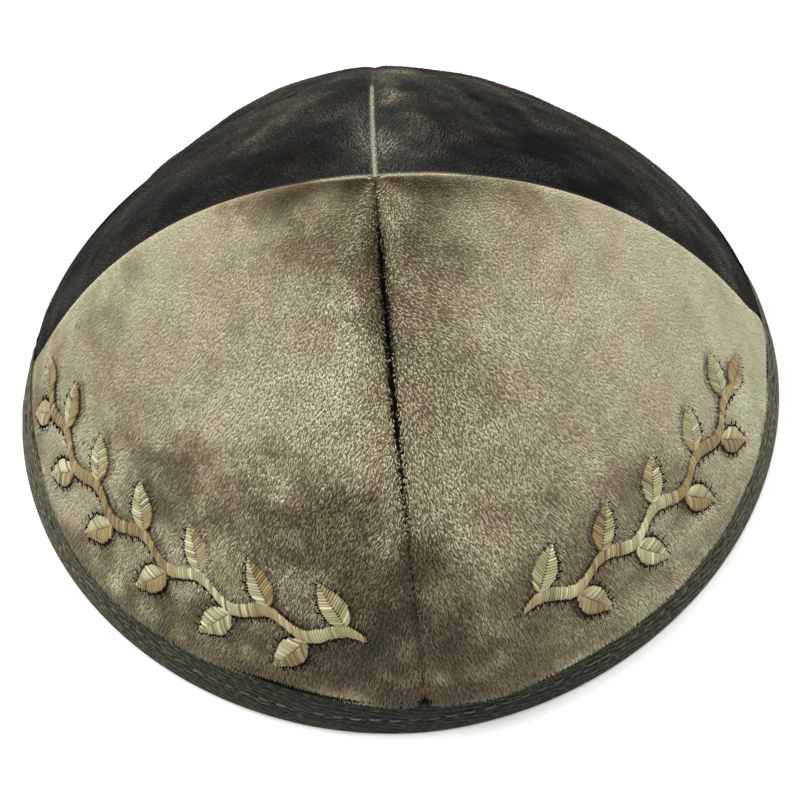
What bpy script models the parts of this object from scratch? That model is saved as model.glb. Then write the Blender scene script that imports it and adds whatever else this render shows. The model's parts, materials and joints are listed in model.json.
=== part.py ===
"""A kippah: a velvet skullcap of four gores with a twill binding round its rim and two embroidered
borders, hollow and resting on its rim as it would by itself.

Lengths are in metres. The front is at -Y, up is +Z, and the origin is the middle of the rim on the
surface that the cap rests on. Left and right are as seen from the front. Each gore runs from the apex,
where the four seams meet, down to the rim. A place on the crown is named by how far round it lies, as an
angle from +X towards +Y, and by how far it is from the rim, measured down the cloth."""

import math
from collections import namedtuple

import bmesh
import bpy
import numpy as np

MM = 0.001

# The crown's outer face
HALF_WIDTH = 85.0 * MM
HALF_DEPTH = 86.0 * MM
HEIGHT = 63.5 * MM
APEX_LEFT = 3.3 * MM  # how far left of the middle the seams meet
PLAN_POWER = 1.93  # 2 would make the rim a true oval
SKEW = 0.015  # share by which the cap is pulled out at the back right and the front left

# The cloth: velvet on its backing, pressed thin where the binding grips it
CLOTH_WALL = 2.2 * MM
PRESSED_WALL = 1.0 * MM
SEAM_DIP = 0.7 * MM  # how far the cloth rolls down into each seam
SEAM_ROLL = 1.6 * MM  # how far from a seam the roll begins to fade

# The binding: one tape folded under the rim, a leg outside and a leg inside
TAPE = 0.9 * MM
TAPE_OUTSIDE = 11.5 * MM
TAPE_INSIDE = 10.0 * MM
FOLD_ROUND = 0.6 * MM  # rounding of the fold's two lower corners
CLEARANCE = 0.3 * MM  # between neighbouring pieces

# The embroidered borders: a waving stem with leaves on its two sides in turn
BORDER_RISE = 25.5 * MM  # the stem's middle line, from the rim
THREAD_RELIEF = 0.5 * MM  # thickness of the stitching at its edges
THREAD_CROWN = 0.5 * MM  # how much thicker it is along its middle
STEM_WIDTH = 2.2 * MM
STEM_WAVE = 1.3 * MM
LEAF_PITCH = 7.6 * MM
LEAF_LENGTH = 9.0 * MM
LEAF_WIDTH = 5.0 * MM
LEAF_FOOT = 1.8 * MM  # width where a leaf joins the stem
LEAF_TILT = math.radians(52.0)  # from the stem's run

# A row for each seam. spread and drop are the powers of its curve: a high spread carries the shoulder
# out, a low drop lets it fall straight to the rim. crease is 0 for a smooth crossing and 1 for a ridge.
Seam = namedtuple("Seam", "name spread drop crease")
SEAMS = (
    Seam("right", 2.35, 1.15, 0.6),
    Seam("back", 1.76, 1.40, 0.3),
    Seam("left", 2.35, 1.15, 0.6),
    Seam("front", 1.64, 1.93, 0.15),
)

# A row for each gore, in the order of the seams that start them: spread and drop are the powers of the
# curve down its middle.
Gore = namedtuple("Gore", "name spread drop colour")
LIGHT_VELVET = (0.36, 0.33, 0.26)
DARK_VELVET = (0.055, 0.050, 0.048)
GORES = (
    Gore("panel_back_right", 1.63, 1.33, DARK_VELVET),
    Gore("panel_back_left", 1.63, 1.33, DARK_VELVET),
    Gore("panel_front_left", 1.79, 1.38, LIGHT_VELVET),
    Gore("panel_front_right", 1.79, 1.38, LIGHT_VELVET),
)
QUARTER = math.tau / len(GORES)

# A row for each border: where its stem starts and ends, in degrees round the crown
Border = namedtuple("Border", "name start_deg end_deg")
BORDERS = (
    Border("embroidery_left", 263.0, 192.5),
    Border("embroidery_right", 285.0, 344.0),
)

# How finely the shapes are cut
ACROSS = (0, 0.014, 0.04, 0.10, 0.18, 0.26, 0.34, 0.42, 0.5)  # shares of a gore's width, to its middle
ROWS = 12  # rows of faces from the apex to the binding
TAPE_ROWS = 3
CURVE_STEPS = 240
LEAF_ROWS = 4


def powers(around):
    """Spread and drop of the curve that runs down the crown at each angle, blended from seam to gore."""
    quarters = (around / QUARTER) % len(GORES)
    nearest = np.round(quarters).astype(int)
    off = np.abs(quarters - nearest) * QUARTER
    seams = nearest % len(SEAMS)
    gores = np.floor(quarters).astype(int) % len(GORES)
    crease = np.array([s.crease for s in SEAMS])[seams]
    share = (1 - crease) * np.cos(2 * off) ** 2 + crease * (1 - np.sin(2 * off))
    blended = []
    for power in ("spread", "drop"):
        at_seam = np.array([getattr(s, power) for s in SEAMS])[seams]
        in_gore = np.array([getattr(g, power) for g in GORES])[gores]
        blended.append(in_gore + (at_seam - in_gore) * share)
    return blended


def crown(down, around):
    """Points on the outer face. down runs from 0 at the apex to a right angle at the rim."""
    down, around = np.broadcast_arrays(down, around)
    spread, drop = powers(around)
    along, across = np.cos(around), np.sin(around)
    reach = (np.abs(along) ** PLAN_POWER + np.abs(across) ** PLAN_POWER) ** (-1 / PLAN_POWER)
    reach = reach * (1 + SKEW * np.sin(2 * around))
    out = np.sin(down) ** (2 / spread)
    up = np.maximum(np.cos(down), 0) ** (2 / drop)
    x = HALF_WIDTH * reach * along * out - APEX_LEFT * (1 - out**2)
    y = HALF_DEPTH * reach * across * out
    return np.stack([x, y, HEIGHT * up], axis=-1)


def unit(vectors):
    return vectors / np.maximum(np.linalg.norm(vectors, axis=-1, keepdims=True), 1e-30)


def directions(down, around):
    """Unit vectors down the cloth and out of it. On a seam they lie in its mitre."""
    step = 1e-4
    low = np.minimum(down + step, math.pi / 2)
    high = np.maximum(down - step, step)
    falling = unit(crown(low, around) - crown(high, around))
    off_apex = np.maximum(down, step)
    turning = unit(crown(off_apex, around + step) - crown(off_apex, around - step))
    out = unit(np.cross(falling, turning))
    out = np.where((down < 10 * step)[..., None], np.array([0.0, 0.0, 1.0]), out)
    return falling, out


def length_table(around):
    """For each angle, the curve's parameter and the length of cloth from the apex to it."""
    down = np.linspace(0, math.pi / 2, CURVE_STEPS + 1)
    points = crown(down[:, None], around[None, :])
    steps = np.linalg.norm(np.diff(points, axis=0), axis=-1)
    return down, np.vstack([np.zeros(len(around)), np.cumsum(steps, axis=0)])


def on_cloth(from_apex, around):
    """The parameter down each curve that lies from_apex along the cloth. Both are grids of one shape."""
    down, lengths = length_table(around[0])
    columns = [np.interp(from_apex[:, k], lengths[:, k], down) for k in range(around.shape[1])]
    return np.stack(columns, axis=1)


def sink(points, out, from_rim, depth):
    """Points moved into the cloth by depth. Near the rim they move level, so that each row of the rim
    keeps its height, and further up they move square to the cloth."""
    level = unit(out * np.array([1.0, 1.0, 0.0]))
    steep = np.clip(1 - (from_rim - TAPE_OUTSIDE) / TAPE_OUTSIDE, 0, 1)[..., None]
    way = out + (level - out) * steep
    way = way / np.sum(way * out, axis=-1, keepdims=True)
    return points - way * np.broadcast_to(depth, from_rim.shape)[..., None]


def columns_of(gore_index):
    """The angles of a gore's columns, from its first seam to its second."""
    first = np.array(ACROSS)
    shares = np.concatenate([first, 1 - first[-2::-1]])
    return (gore_index + shares) * QUARTER


def place(from_rim, around):
    """Points on the outer face at a grid of places with rows down the cloth, and their directions."""
    lengths = length_table(around[0])[1][-1]
    down = on_cloth(lengths - from_rim, around)
    return crown(down, around), *directions(down, around)


def body_from(name, points, faces, material, parent):
    """A closed body. Points that lie on each other are joined, and its faces are turned outwards."""
    mesh = bpy.data.meshes.new(name)
    mesh.from_pydata(points.reshape(-1, 3).tolist(), [], faces)
    work = bmesh.new()
    work.from_mesh(mesh)
    bmesh.ops.remove_doubles(work, verts=work.verts, dist=1e-6)
    bmesh.ops.recalc_face_normals(work, faces=work.faces)
    work.to_mesh(mesh)
    work.free()
    mesh.materials.append(material)
    mesh.shade_smooth()
    mesh.set_sharp_from_angle(angle=math.radians(40))
    body = bpy.data.objects.new(name, mesh)
    body.parent = parent
    bpy.context.scene.collection.objects.link(body)
    return body


def grid_faces(first, rows, columns, wrap_rows=False, wrap_columns=False):
    """The quads of a grid of points numbered from first, row by row."""
    row = np.arange(rows if wrap_rows else rows - 1)
    column = np.arange(columns if wrap_columns else columns - 1)
    r, c = [axis.ravel() for axis in np.meshgrid(row, column, indexing="ij")]
    below, beside = (r + 1) % rows, (c + 1) % columns
    corners = [r * columns + c, r * columns + beside, below * columns + beside, below * columns + c]
    return (first + np.stack(corners, axis=1)).tolist()


def shell_faces(rows, columns):
    """The quads of a wall between two grids, the second numbered after the first, with closed edges."""
    size = rows * columns
    number = np.arange(size).reshape(rows, columns)
    rim = np.concatenate([number[0], number[1:, -1], number[-1, -2::-1], number[-2:0:-1, 0]])
    ahead = np.roll(rim, -1)
    walls = np.stack([rim, ahead, ahead + size, rim + size], axis=1).tolist()
    return grid_faces(0, rows, columns) + grid_faces(size, rows, columns) + walls


def seam_dip(points, inside):
    """How far each point of a gore has rolled into its seams, from its distance to the nearer one."""
    to_first = np.linalg.norm(points - points[:, :1], axis=-1)
    to_second = np.linalg.norm(points - points[:, -1:], axis=-1)
    near = np.minimum(to_first, to_second)
    return np.where(inside, SEAM_DIP * np.exp(-((near / SEAM_ROLL) ** 2)), 0)


def part_at_seams(points, falling, out):
    """The points with the first and last columns moved back from the seams by half the clearance."""
    half = CLEARANCE / 2
    square = unit(np.cross(out, falling))
    moved = points.copy()
    moved[:, 0] += square[:, 0] * half
    moved[:, -1] -= square[:, -1] * half
    # The gore's tip is where the two moved seams cross.
    moved[0] = points[0] + (square[0, 0] - square[0, -1]) * half
    return moved


def make_gore(index, material, parent):
    """One gore: full cloth from the apex to the binding, and a pressed edge inside it."""
    around = columns_of(index)[None, :]
    lengths = length_table(around[0])[1][-1]
    band = TAPE_OUTSIDE + CLEARANCE
    upper = np.linspace(1, 0, ROWS + 1)[:, None] * (lengths - band)[None, :] + band
    foot = TAPE + CLEARANCE
    lower = np.linspace(band, foot, TAPE_ROWS + 1)[:, None] * np.ones_like(around)
    # The row at the binding comes twice: the outer face steps in there.
    from_rim = np.vstack([upper, lower])
    around = np.repeat(around, len(from_rim), axis=0)
    points, falling, out = place(from_rim, around)
    in_band = np.arange(len(from_rim))[:, None] > ROWS
    pressed = CLOTH_WALL - PRESSED_WALL
    face_depth = np.where(in_band, pressed, seam_dip(points, ~in_band))
    parted = part_at_seams(points, falling, out)
    outer = sink(parted, out, from_rim, face_depth)
    inner = sink(parted, out, from_rim, CLOTH_WALL)
    shape = np.stack([outer, inner])
    return body_from(GORES[index].name, shape, shell_faces(*from_rim.shape), material, parent)


def tape_section():
    """The folded tape's outline as (distance from the rim, depth from the crown's outer face), once
    round: up the outside, down into the fold, up and over the inner leg, and back under."""
    grip = CLOTH_WALL + CLEARANCE
    inside = grip + TAPE
    up = np.linspace(FOLD_ROUND, TAPE_OUTSIDE, TAPE_ROWS + 1)
    back = np.linspace(TAPE_OUTSIDE, TAPE, TAPE_ROWS + 1)
    rise = np.linspace(TAPE, TAPE_INSIDE, TAPE_ROWS + 1)
    fall = np.linspace(TAPE_INSIDE, FOLD_ROUND, TAPE_ROWS + 1)
    outline = [(r, 0.0) for r in up]
    outline += [(r, TAPE) for r in back]
    outline += [(r, grip) for r in rise]
    outline += [(r, inside) for r in fall]
    outline += [(0.0, inside - FOLD_ROUND), (0.0, FOLD_ROUND)]
    return np.array(outline)


def make_binding(material, parent):
    """The tape's section carried once round the rim."""
    turns = np.concatenate([columns_of(k)[:-1] for k in range(len(GORES))])
    section = tape_section()
    from_rim = np.repeat(section[:, :1], len(turns), axis=1)
    around = np.repeat(turns[None, :], len(section), axis=0)
    points, _, out = place(from_rim, around)
    shape = sink(points, out, from_rim, section[:, 1:])
    faces = grid_faces(0, len(section), len(turns), wrap_rows=True, wrap_columns=True)
    return body_from("rim_binding", shape, faces, material, parent)


def run_of(border):
    """Angles along a border's line and the length of cloth from its start to each."""
    turns = np.radians(np.linspace(border.start_deg, border.end_deg, CURVE_STEPS))
    level = np.full((1, CURVE_STEPS), BORDER_RISE)
    line = place(level, turns[None, :])[0][0]
    steps = np.linalg.norm(np.diff(line, axis=0), axis=-1)
    return turns, np.concatenate([[0], np.cumsum(steps)])


def grow_leaf(roots, base, axis, square, used):
    """One leaf on three root points: its points, the middles among them, and its faces. It swells from
    its foot as a sine of its length and closes at its tip."""
    rows = (np.arange(LEAF_ROWS) + 1) / (LEAF_ROWS + 1)
    swell = np.maximum(LEAF_FOOT / 2 * (1 - rows), LEAF_WIDTH / 2 * np.sin(math.pi * rows**0.8))
    spine = base + axis * (rows * LEAF_LENGTH)[:, None]
    blade = np.stack([spine + square * (step * swell)[:, None] for step in (-1, 0, 1)], axis=1)
    tip = base + axis * LEAF_LENGTH
    numbers = [roots] + [[used + 3 * row + step for step in range(3)] for row in range(LEAF_ROWS)]
    faces = []
    for near, far in zip(numbers, numbers[1:]):
        faces += [[near[j], near[j + 1], far[j + 1], far[j]] for j in range(2)]
    end = used + 3 * LEAF_ROWS
    faces += [[numbers[-1][j], numbers[-1][j + 1], end] for j in range(2)]
    ridge = np.append(np.tile([0.0, 1.0, 0.0], LEAF_ROWS), 0.0)
    return np.vstack([blade.reshape(-1, 2), tip]), ridge, faces


def vine(length):
    """A border laid flat: its points as (along, rise), how near each is to the middle of its stroke,
    from 0 at an edge to 1, and its faces. The stem is two strips that wave as a sine, a leaf grows from
    each of its crests, and one more from its end."""
    count = int(length / LEAF_PITCH)
    feet = (np.arange(count) + 0.5) * LEAF_PITCH
    offsets = np.array([-LEAF_FOOT / 2, 0, LEAF_FOOT / 2])
    between = (np.arange(count) + 1.0) * LEAF_PITCH
    along = np.sort(np.concatenate([[0], (feet[:, None] + offsets).ravel(), between]))
    columns = len(along)
    taper = np.clip(2 * along / LEAF_PITCH + 0.3, 0, 1)
    middle = STEM_WAVE * np.sin(math.pi * along / LEAF_PITCH)
    edges = [middle + side * STEM_WIDTH / 2 * taper for side in (-1, 0, 1)]
    stem = np.stack([np.stack([along, edge], axis=-1) for edge in edges])
    points = [stem.reshape(-1, 2)]
    ridge = [np.repeat([0.0, 1.0, 0.0], columns)]
    faces = grid_faces(0, 3, columns)
    sprouts = []
    for k, foot in enumerate(feet):
        side = 1 if k % 2 == 0 else -1
        edge = side + 1
        at = int(np.argmin(np.abs(along - foot)))
        roots = [edge * columns + at + step for step in (-1, 0, 1)]
        axis = np.array([math.cos(LEAF_TILT), side * math.sin(LEAF_TILT)])
        square = np.array([math.sin(LEAF_TILT), -side * math.cos(LEAF_TILT)])
        sprouts.append((roots, stem[edge, at], axis, square))
    end_roots = [edge * columns + columns - 1 for edge in (0, 1, 2)]
    sprouts.append((end_roots, stem[1, -1], np.array([1.0, 0.0]), np.array([0.0, 1.0])))
    used = 3 * columns
    for roots, base, axis, square in sprouts:
        leaf, middles, blades = grow_leaf(roots, base, axis, square, used)
        points.append(leaf)
        ridge.append(middles)
        faces += blades
        used += len(leaf)
    return np.vstack(points), np.concatenate(ridge), faces


def thicken(faces, count):
    """The faces of a closed body from a flat sheet of count points and its copy numbered after it."""
    sides = {}
    for face in faces:
        for a, b in zip(face, face[1:] + face[:1]):
            key = (min(a, b), max(a, b))
            sides[key] = None if key in sides else (a, b)
    walls = [[a, b, b + count, a + count] for a, b in filter(None, sides.values())]
    return faces + [[corner + count for corner in face] for face in faces] + walls


def make_border(border, material, parent):
    """The flat vine laid on the crown: its underside clear of the velvet, its strokes domed."""
    turns, lengths = run_of(border)
    flat, ridge, faces = vine(lengths[-1])
    around = np.interp(flat[:, 0], lengths, turns)[None, :]
    from_rim = (BORDER_RISE + flat[:, 1])[None, :]
    points, _, out = place(from_rim, around)
    under = sink(points, out, from_rim, -CLEARANCE)
    over = sink(points, out, from_rim, -(CLEARANCE + THREAD_RELIEF + THREAD_CROWN * ridge)[None, :])
    shape = np.stack([under[0], over[0]])
    return body_from(border.name, shape, thicken(faces, len(flat)), material, parent)


def material_of(name, colour, roughness, sheen=0.0):
    """A Principled material with one colour, for cloth."""
    material = bpy.data.materials.new(name)
    material.use_nodes = True
    surface = material.node_tree.nodes["Principled BSDF"]
    surface.inputs["Base Color"].default_value = (*colour, 1)
    surface.inputs["Roughness"].default_value = roughness
    surface.inputs["Metallic"].default_value = 0
    surface.inputs["Sheen Weight"].default_value = sheen
    material.diffuse_color = (*colour, 1)
    return material


def clear_scene():
    for old in list(bpy.data.objects):
        bpy.data.objects.remove(old, do_unlink=True)


def main():
    clear_scene()
    cap = bpy.data.objects.new("kippah", None)
    bpy.context.scene.collection.objects.link(cap)
    for index, gore in enumerate(GORES):
        velvet = material_of(gore.name + "_velvet", gore.colour, 0.9, sheen=0.6)
        make_gore(index, velvet, cap)
    make_binding(material_of("olive_twill", (0.06, 0.06, 0.045), 0.8), cap)
    thread = material_of("cream_thread", (0.62, 0.53, 0.34), 0.45, sheen=0.2)
    for border in BORDERS:
        make_border(border, thread, cap)


if __name__ == "__main__":
    main()
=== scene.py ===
"""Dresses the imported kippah: four velvet gores with their pile, a twill binding with its stitches, and
two satin-stitched borders, on a pale floor.

Lengths are in metres. The front is at -Y, up is +Z, and left and right are as seen from the front. A
place on the crown is named by how far round it lies, as an angle from +X towards +Y, and by how far it is
from the rim, measured down the cloth."""

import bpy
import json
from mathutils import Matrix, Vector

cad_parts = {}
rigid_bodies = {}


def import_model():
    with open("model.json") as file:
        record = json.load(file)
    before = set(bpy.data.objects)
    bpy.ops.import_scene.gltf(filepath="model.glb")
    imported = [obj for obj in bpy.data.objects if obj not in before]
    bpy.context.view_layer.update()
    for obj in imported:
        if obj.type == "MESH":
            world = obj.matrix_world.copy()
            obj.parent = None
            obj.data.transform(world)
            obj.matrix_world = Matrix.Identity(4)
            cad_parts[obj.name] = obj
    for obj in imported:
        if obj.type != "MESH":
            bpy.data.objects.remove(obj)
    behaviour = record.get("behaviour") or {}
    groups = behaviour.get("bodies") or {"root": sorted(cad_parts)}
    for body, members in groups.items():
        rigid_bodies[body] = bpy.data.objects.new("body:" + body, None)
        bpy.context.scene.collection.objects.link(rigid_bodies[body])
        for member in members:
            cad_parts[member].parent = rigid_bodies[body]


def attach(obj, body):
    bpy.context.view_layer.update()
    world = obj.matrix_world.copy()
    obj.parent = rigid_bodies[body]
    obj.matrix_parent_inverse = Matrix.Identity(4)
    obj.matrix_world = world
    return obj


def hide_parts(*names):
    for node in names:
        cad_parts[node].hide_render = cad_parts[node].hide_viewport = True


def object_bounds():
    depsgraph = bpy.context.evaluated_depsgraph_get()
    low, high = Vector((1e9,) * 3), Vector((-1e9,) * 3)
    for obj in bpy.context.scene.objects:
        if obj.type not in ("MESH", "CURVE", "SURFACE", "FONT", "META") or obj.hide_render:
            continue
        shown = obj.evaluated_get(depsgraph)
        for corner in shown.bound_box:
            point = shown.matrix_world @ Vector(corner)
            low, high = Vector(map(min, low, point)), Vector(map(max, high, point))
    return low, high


bl_info = {
    "name": "Velvet Kippah",
    "version": (1, 0, 0),
    "blender": (4, 5, 0),
    "location": "3D View > Sidebar > Kippah",
    "description": "Makes the velvet, the binding and the embroidered borders of a four-gore kippah",
    "category": "Object",
}

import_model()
cad_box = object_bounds()

import functools
import json
import math
from collections import namedtuple

import bpy
import numpy as np
from bpy.props import FloatProperty, PointerProperty
from bpy.types import Operator, Panel, PropertyGroup
from mathutils import Matrix, Vector

MM = 0.001

# The crown and the cloth, as the part has them
HALF_WIDTH = 85.0 * MM
HALF_DEPTH = 86.0 * MM
HEIGHT = 63.5 * MM
APEX_LEFT = 3.3 * MM
PLAN_POWER = 1.93
SKEW = 0.015
CLOTH_WALL = 2.2 * MM
PRESSED_WALL = 1.0 * MM
TAPE = 0.9 * MM
TAPE_OUTSIDE = 11.5 * MM
TAPE_INSIDE = 10.0 * MM
CLEARANCE = 0.3 * MM
BORDER_RISE = 25.5 * MM
STEM_WIDTH = 2.2 * MM
STEM_WAVE = 1.3 * MM
LEAF_PITCH = 7.6 * MM
LEAF_LENGTH = 9.0 * MM
LEAF_WIDTH = 5.0 * MM
LEAF_FOOT = 1.8 * MM
LEAF_TILT = math.radians(52.0)

# spread, drop and crease shape the curve down each seam, as in the part. The pile stays off a seam by
# bare_high near the apex and bare_low near the rim, the cloth rolls into it by dip, and its two edges
# stand open by open. pale is how light the pile and ground look beside it, above pale_from on the crown:
# partly the cloth's turned edge and partly a painted highlight along the seam's ridge. A seam whose pale
# is below 0 shows dark ground, painted shadow in its groove.
Seam = namedtuple(
    "Seam", "name spread drop crease bare_high_mm bare_low_mm dip_mm open_mm pale pale_from_mm")
SEAMS = (
    Seam("right", 2.35, 1.15, 0.6, 0.0, 0.0, 0.25, 0.04, 0.6, 96),
    Seam("back", 1.76, 1.40, 0.3, 0.0, 0.0, 0.30, 0.04, 0.74, 72),
    Seam("left", 2.35, 1.15, 0.6, 0.0, 0.0, 0.25, 0.04, 0.6, 96),
    Seam("front", 1.64, 1.93, 0.15, 0.50, 0.10, 0.85, 0.20, -1.9, 44),
)
# nap_deg is the way that a gore's pile points, nap how light it looks, cloud how much that wanders, and
# coarse how much wider its tufts are, and how much further apart. All four gores are one velvet: the high
# nap of the front gores is painted light, and the low nap of the back gores is painted shade.
Gore = namedtuple("Gore", "name spread drop slot nap_deg nap cloud coarse")
GORES = (
    Gore("back_right", 1.63, 1.33, "velvet_dark", 45, 0.42, 0.055, 1.3),
    Gore("back_left", 1.63, 1.33, "velvet_dark", 135, 0.38, 0.045, 1.3),
    Gore("front_left", 1.79, 1.38, "velvet_light", 248, 0.87, 0.03, 1.0),
    Gore("front_right", 1.79, 1.38, "velvet_light", 292, 0.87, 0.03, 1.0),
)
QUARTER = math.tau / len(GORES)
Border = namedtuple("Border", "side gore start_deg end_deg")
BORDERS = (
    Border("left", 2, 263.0, 192.5),
    Border("right", 3, 285.0, 344.0),
)

# Soft patches of lighter and darker nap round places on the crown: partly where the nap has been brushed,
# and partly painted light and shade, such as painted shade low on the front, where the cloth faces away from
# the top lamp, and a painted sheen high on the back gores. shade below 0 is pile that stands up and looks
# darker, and above 0 is pile laid flat.
Patch = namedtuple("Patch", "around_deg from_rim_mm wide_deg tall_mm shade")
NAP_AND_PAINTED_LIGHT_PATCHES = (
    Patch(265, 30, 11, 18, -0.51),
    Patch(258, 36, 6, 5, 0.25),
    Patch(246, 13, 24, 12, -0.48),
    Patch(217, 12, 20, 7, -0.25),
    Patch(189, 16, 15, 11, -0.22),
    Patch(193, 42, 16, 12, -0.17),
    Patch(250, 43, 14, 10, -0.32),
    Patch(226, 39, 14, 10, -0.34),
    Patch(281, 14, 12, 12, -0.30),
    Patch(270, 9, 10, 6, 0.16),
    Patch(300, 28, 22, 18, -0.27),
    Patch(324, 12, 16, 5, -0.17),
    Patch(294, 10, 12, 6, -0.14),
    Patch(224, 98, 70, 13, -0.27),
    Patch(243, 101, 15, 8, 0.13),
    Patch(186, 94, 12, 9, -0.26),
    Patch(202, 110, 32, 8, -0.54),
    Patch(265, 90, 8, 16, -0.28),
    Patch(320, 103, 70, 14, -0.24),
    Patch(314, 92, 16, 8, -0.08),
    Patch(346, 110, 26, 8, -0.36),
    Patch(352, 92, 10, 10, -0.14),
    Patch(338, 79, 14, 6, -0.11),
    Patch(290, 66, 10, 8, -0.12),
    Patch(275, 80, 9, 16, -0.18),
    Patch(275, 98, 9, 15, 0.24),
    Patch(290, 90, 12, 10, -0.06),
    Patch(83, 66, 6, 20, 0.30),
    Patch(214, 66, 24, 14, -0.05),
    Patch(318, 66, 20, 12, -0.04),
    Patch(258, 78, 7, 9, 0.14),
    Patch(96, 99, 10, 12, 0.15),
    Patch(70, 97, 14, 10, 0.15),
    Patch(90, 109, 120, 9, 0.18),
    Patch(122, 66, 26, 9, 0.20),
    Patch(62, 62, 20, 9, 0.12),
    Patch(16, 76, 26, 18, -0.20),
    Patch(155, 84, 22, 12, -0.10),
)
# Soft ridges and hollows: small ones on the front gores, drawn up by the embroidery, and wide ones on the
# back gores, where the cap was creased. long runs along the rim, turned by lean, and out is below 0 for a
# hollow.
Fold = namedtuple("Fold", "around_deg from_rim_mm lean_deg long_mm wide_mm out_mm")
FOLDS = (
    Fold(317, 16.0, -14, 8.0, 2.4, 0.90),
    Fold(310, 13.0, -10, 6.5, 2.2, -0.75),
    Fold(317, 20.5, 0, 5.0, 2.8, -0.85),
    Fold(317, 28.0, 0, 5.0, 4.0, -0.60),
    Fold(304, 12.8, 0, 4.5, 2.4, 0.80),
    Fold(303, 17.0, 0, 4.0, 2.0, -0.70),
    Fold(295, 19.0, 0, 6.0, 2.6, -0.60),
    Fold(296, 14.8, 0, 5.0, 2.4, 0.75),
    Fold(334, 20.0, 10, 5.0, 2.6, -0.60),
    Fold(330, 15.0, -8, 6.0, 2.4, 0.50),
    Fold(222, 15.0, 8, 6.0, 2.8, 0.55),
    Fold(230, 19.0, 8, 5.0, 2.4, -0.50),
    Fold(240, 14.5, 0, 6.0, 2.8, 0.55),
    Fold(253, 15.0, -6, 6.0, 2.8, 0.45),
    Fold(205, 20.0, 12, 5.0, 3.0, -0.45),
    Fold(150, 23.0, 20, 22.0, 14.0, -0.75),
    Fold(131, 31.0, 10, 9.0, 10.0, -0.40),
    Fold(112, 40.0, 0, 9.0, 10.0, 0.85),
    Fold(82, 44.0, 0, 10.0, 10.0, -0.80),
    Fold(34, 23.0, 0, 14.0, 12.0, 0.45),
    Fold(14, 9.0, 0, 7.0, 9.0, -0.50),
)
# Where the velvet swells and hangs over the binding's edge more than it does elsewhere, and where less
Swell = namedtuple("Swell", "around_deg wide_deg out_mm down_mm")
SWELLS = (
    Swell(304, 27, 1.20, 2.2),
    Swell(270, 18, 0.50, 0.8),
    Swell(356, 6, 0.30, 1.0),
    Swell(331, 12, 0.50, 1.3),
    Swell(223, 17, 1.10, 2.2),
    Swell(192, 10, -0.40, -1.2),
)

# How far below the velvet's ground a tuft's root is sunk, and the least and most that a tuft leans
ROOT_SUNK = 0.12 * MM
LEAST_LEAN, MOST_LEAN = math.radians(8), math.radians(62)
# How near to a stitched stroke pile still stands
PILE_TO_STROKE = 0.2 * MM
# The round of the tape where it folds at the rim, and how far above the velvet's lowest row its hem turns
FOLD_ROUND = 0.7 * MM
HEM_LIFT = 0.1 * MM
# On a border laid flat, the way from a stroke to the side that is given painted shadow: down the crown and
# on along the stem
DOWNHILL = np.array([0.6, -0.8])

# How finely the surfaces are cut
CURVE_STEPS = 400
GORE_ROWS = 68
GORE_COLUMNS = 69
TAPE_TURNS = 320
RIM_STEPS = 2000
# Where the random draws start
SEED = 1948


def powers(around):
    """Spread and drop of the curve that runs down the crown at each angle. A seam's powers fade into the
    gore's by a squared cosine, or for a creased seam by one less a sine, so that it stands as a ridge."""
    quarters = (around / QUARTER) % len(GORES)
    nearest = np.round(quarters).astype(int)
    off = np.abs(quarters - nearest) * QUARTER
    seams = nearest % len(SEAMS)
    gores = np.floor(quarters).astype(int) % len(GORES)
    crease = np.array([s.crease for s in SEAMS])[seams]
    share = (1 - crease) * np.cos(2 * off) ** 2 + crease * (1 - np.sin(2 * off))
    blended = []
    for power in ("spread", "drop"):
        at_seam = np.array([getattr(s, power) for s in SEAMS])[seams]
        in_gore = np.array([getattr(g, power) for g in GORES])[gores]
        blended.append(in_gore + (at_seam - in_gore) * share)
    return blended


def crown(down, around):
    """Points on the crown's outer face. down runs from 0 at the apex to a right angle at the rim. The
    plan is a superellipse, reached by a power of the sine of down, and the height is a power of its
    cosine."""
    spread, drop = powers(around)
    along, across = np.cos(around), np.sin(around)
    reach = (np.abs(along) ** PLAN_POWER + np.abs(across) ** PLAN_POWER) ** (-1 / PLAN_POWER)
    reach = reach * (1 + SKEW * np.sin(2 * around))
    out = np.sin(down) ** (2 / spread)
    up = np.maximum(np.cos(down), 0) ** (2 / drop)
    x = HALF_WIDTH * reach * along * out - APEX_LEFT * (1 - out**2)
    y = HALF_DEPTH * reach * across * out
    return join(x, y, HEIGHT * up)


def norm(vectors):
    return np.linalg.norm(vectors, axis=-1)


def unit(vectors):
    return vectors / np.maximum(norm(vectors)[..., None], 1e-30)


def join(*values):
    """Values side by side, as places, vectors or the corners of faces."""
    return np.stack(np.broadcast_arrays(*values), axis=-1)


def bell(away, reach):
    """A bell curve: 1 where away is 0, about a third one reach off, and next to nothing at three."""
    return np.exp(-((away / reach) ** 2))


def fade(from_rim, start_mm, over_mm):
    """0 up to one height above the rim, and 1 from over_mm further up."""
    return np.clip((from_rim / MM - start_mm) / over_mm, 0, 1)


def steps_along(line):
    """The length of each step of a line of points."""
    return norm(np.diff(line, axis=0))


def cell_areas(grid):
    """The area of each cell of a grid, taken as a parallelogram on its first two sides."""
    return norm(np.cross(np.diff(grid, axis=0)[:, :-1], np.diff(grid, axis=1)[:-1]))


def closed(line):
    """A line of points that comes back to its first one."""
    return np.vstack([line, line[:1]])


def from_start(line):
    """How far each point of a line lies along it."""
    return np.concatenate([[0], np.cumsum(steps_along(line))])


def directions(down, around):
    """Unit vectors down the cloth and out of it, from small steps along the crown."""
    step = 1e-4
    low = np.minimum(down + step, math.pi / 2)
    high = np.maximum(down - step, step)
    falling = unit(crown(low, around) - crown(high, around))
    off_apex = np.maximum(down, step)
    turning = unit(crown(off_apex, around + step) - crown(off_apex, around - step))
    out = unit(np.cross(falling, turning))
    out = np.where((down < 10 * step)[..., None], np.array([0.0, 0.0, 1.0]), out)
    return falling, out


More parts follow.
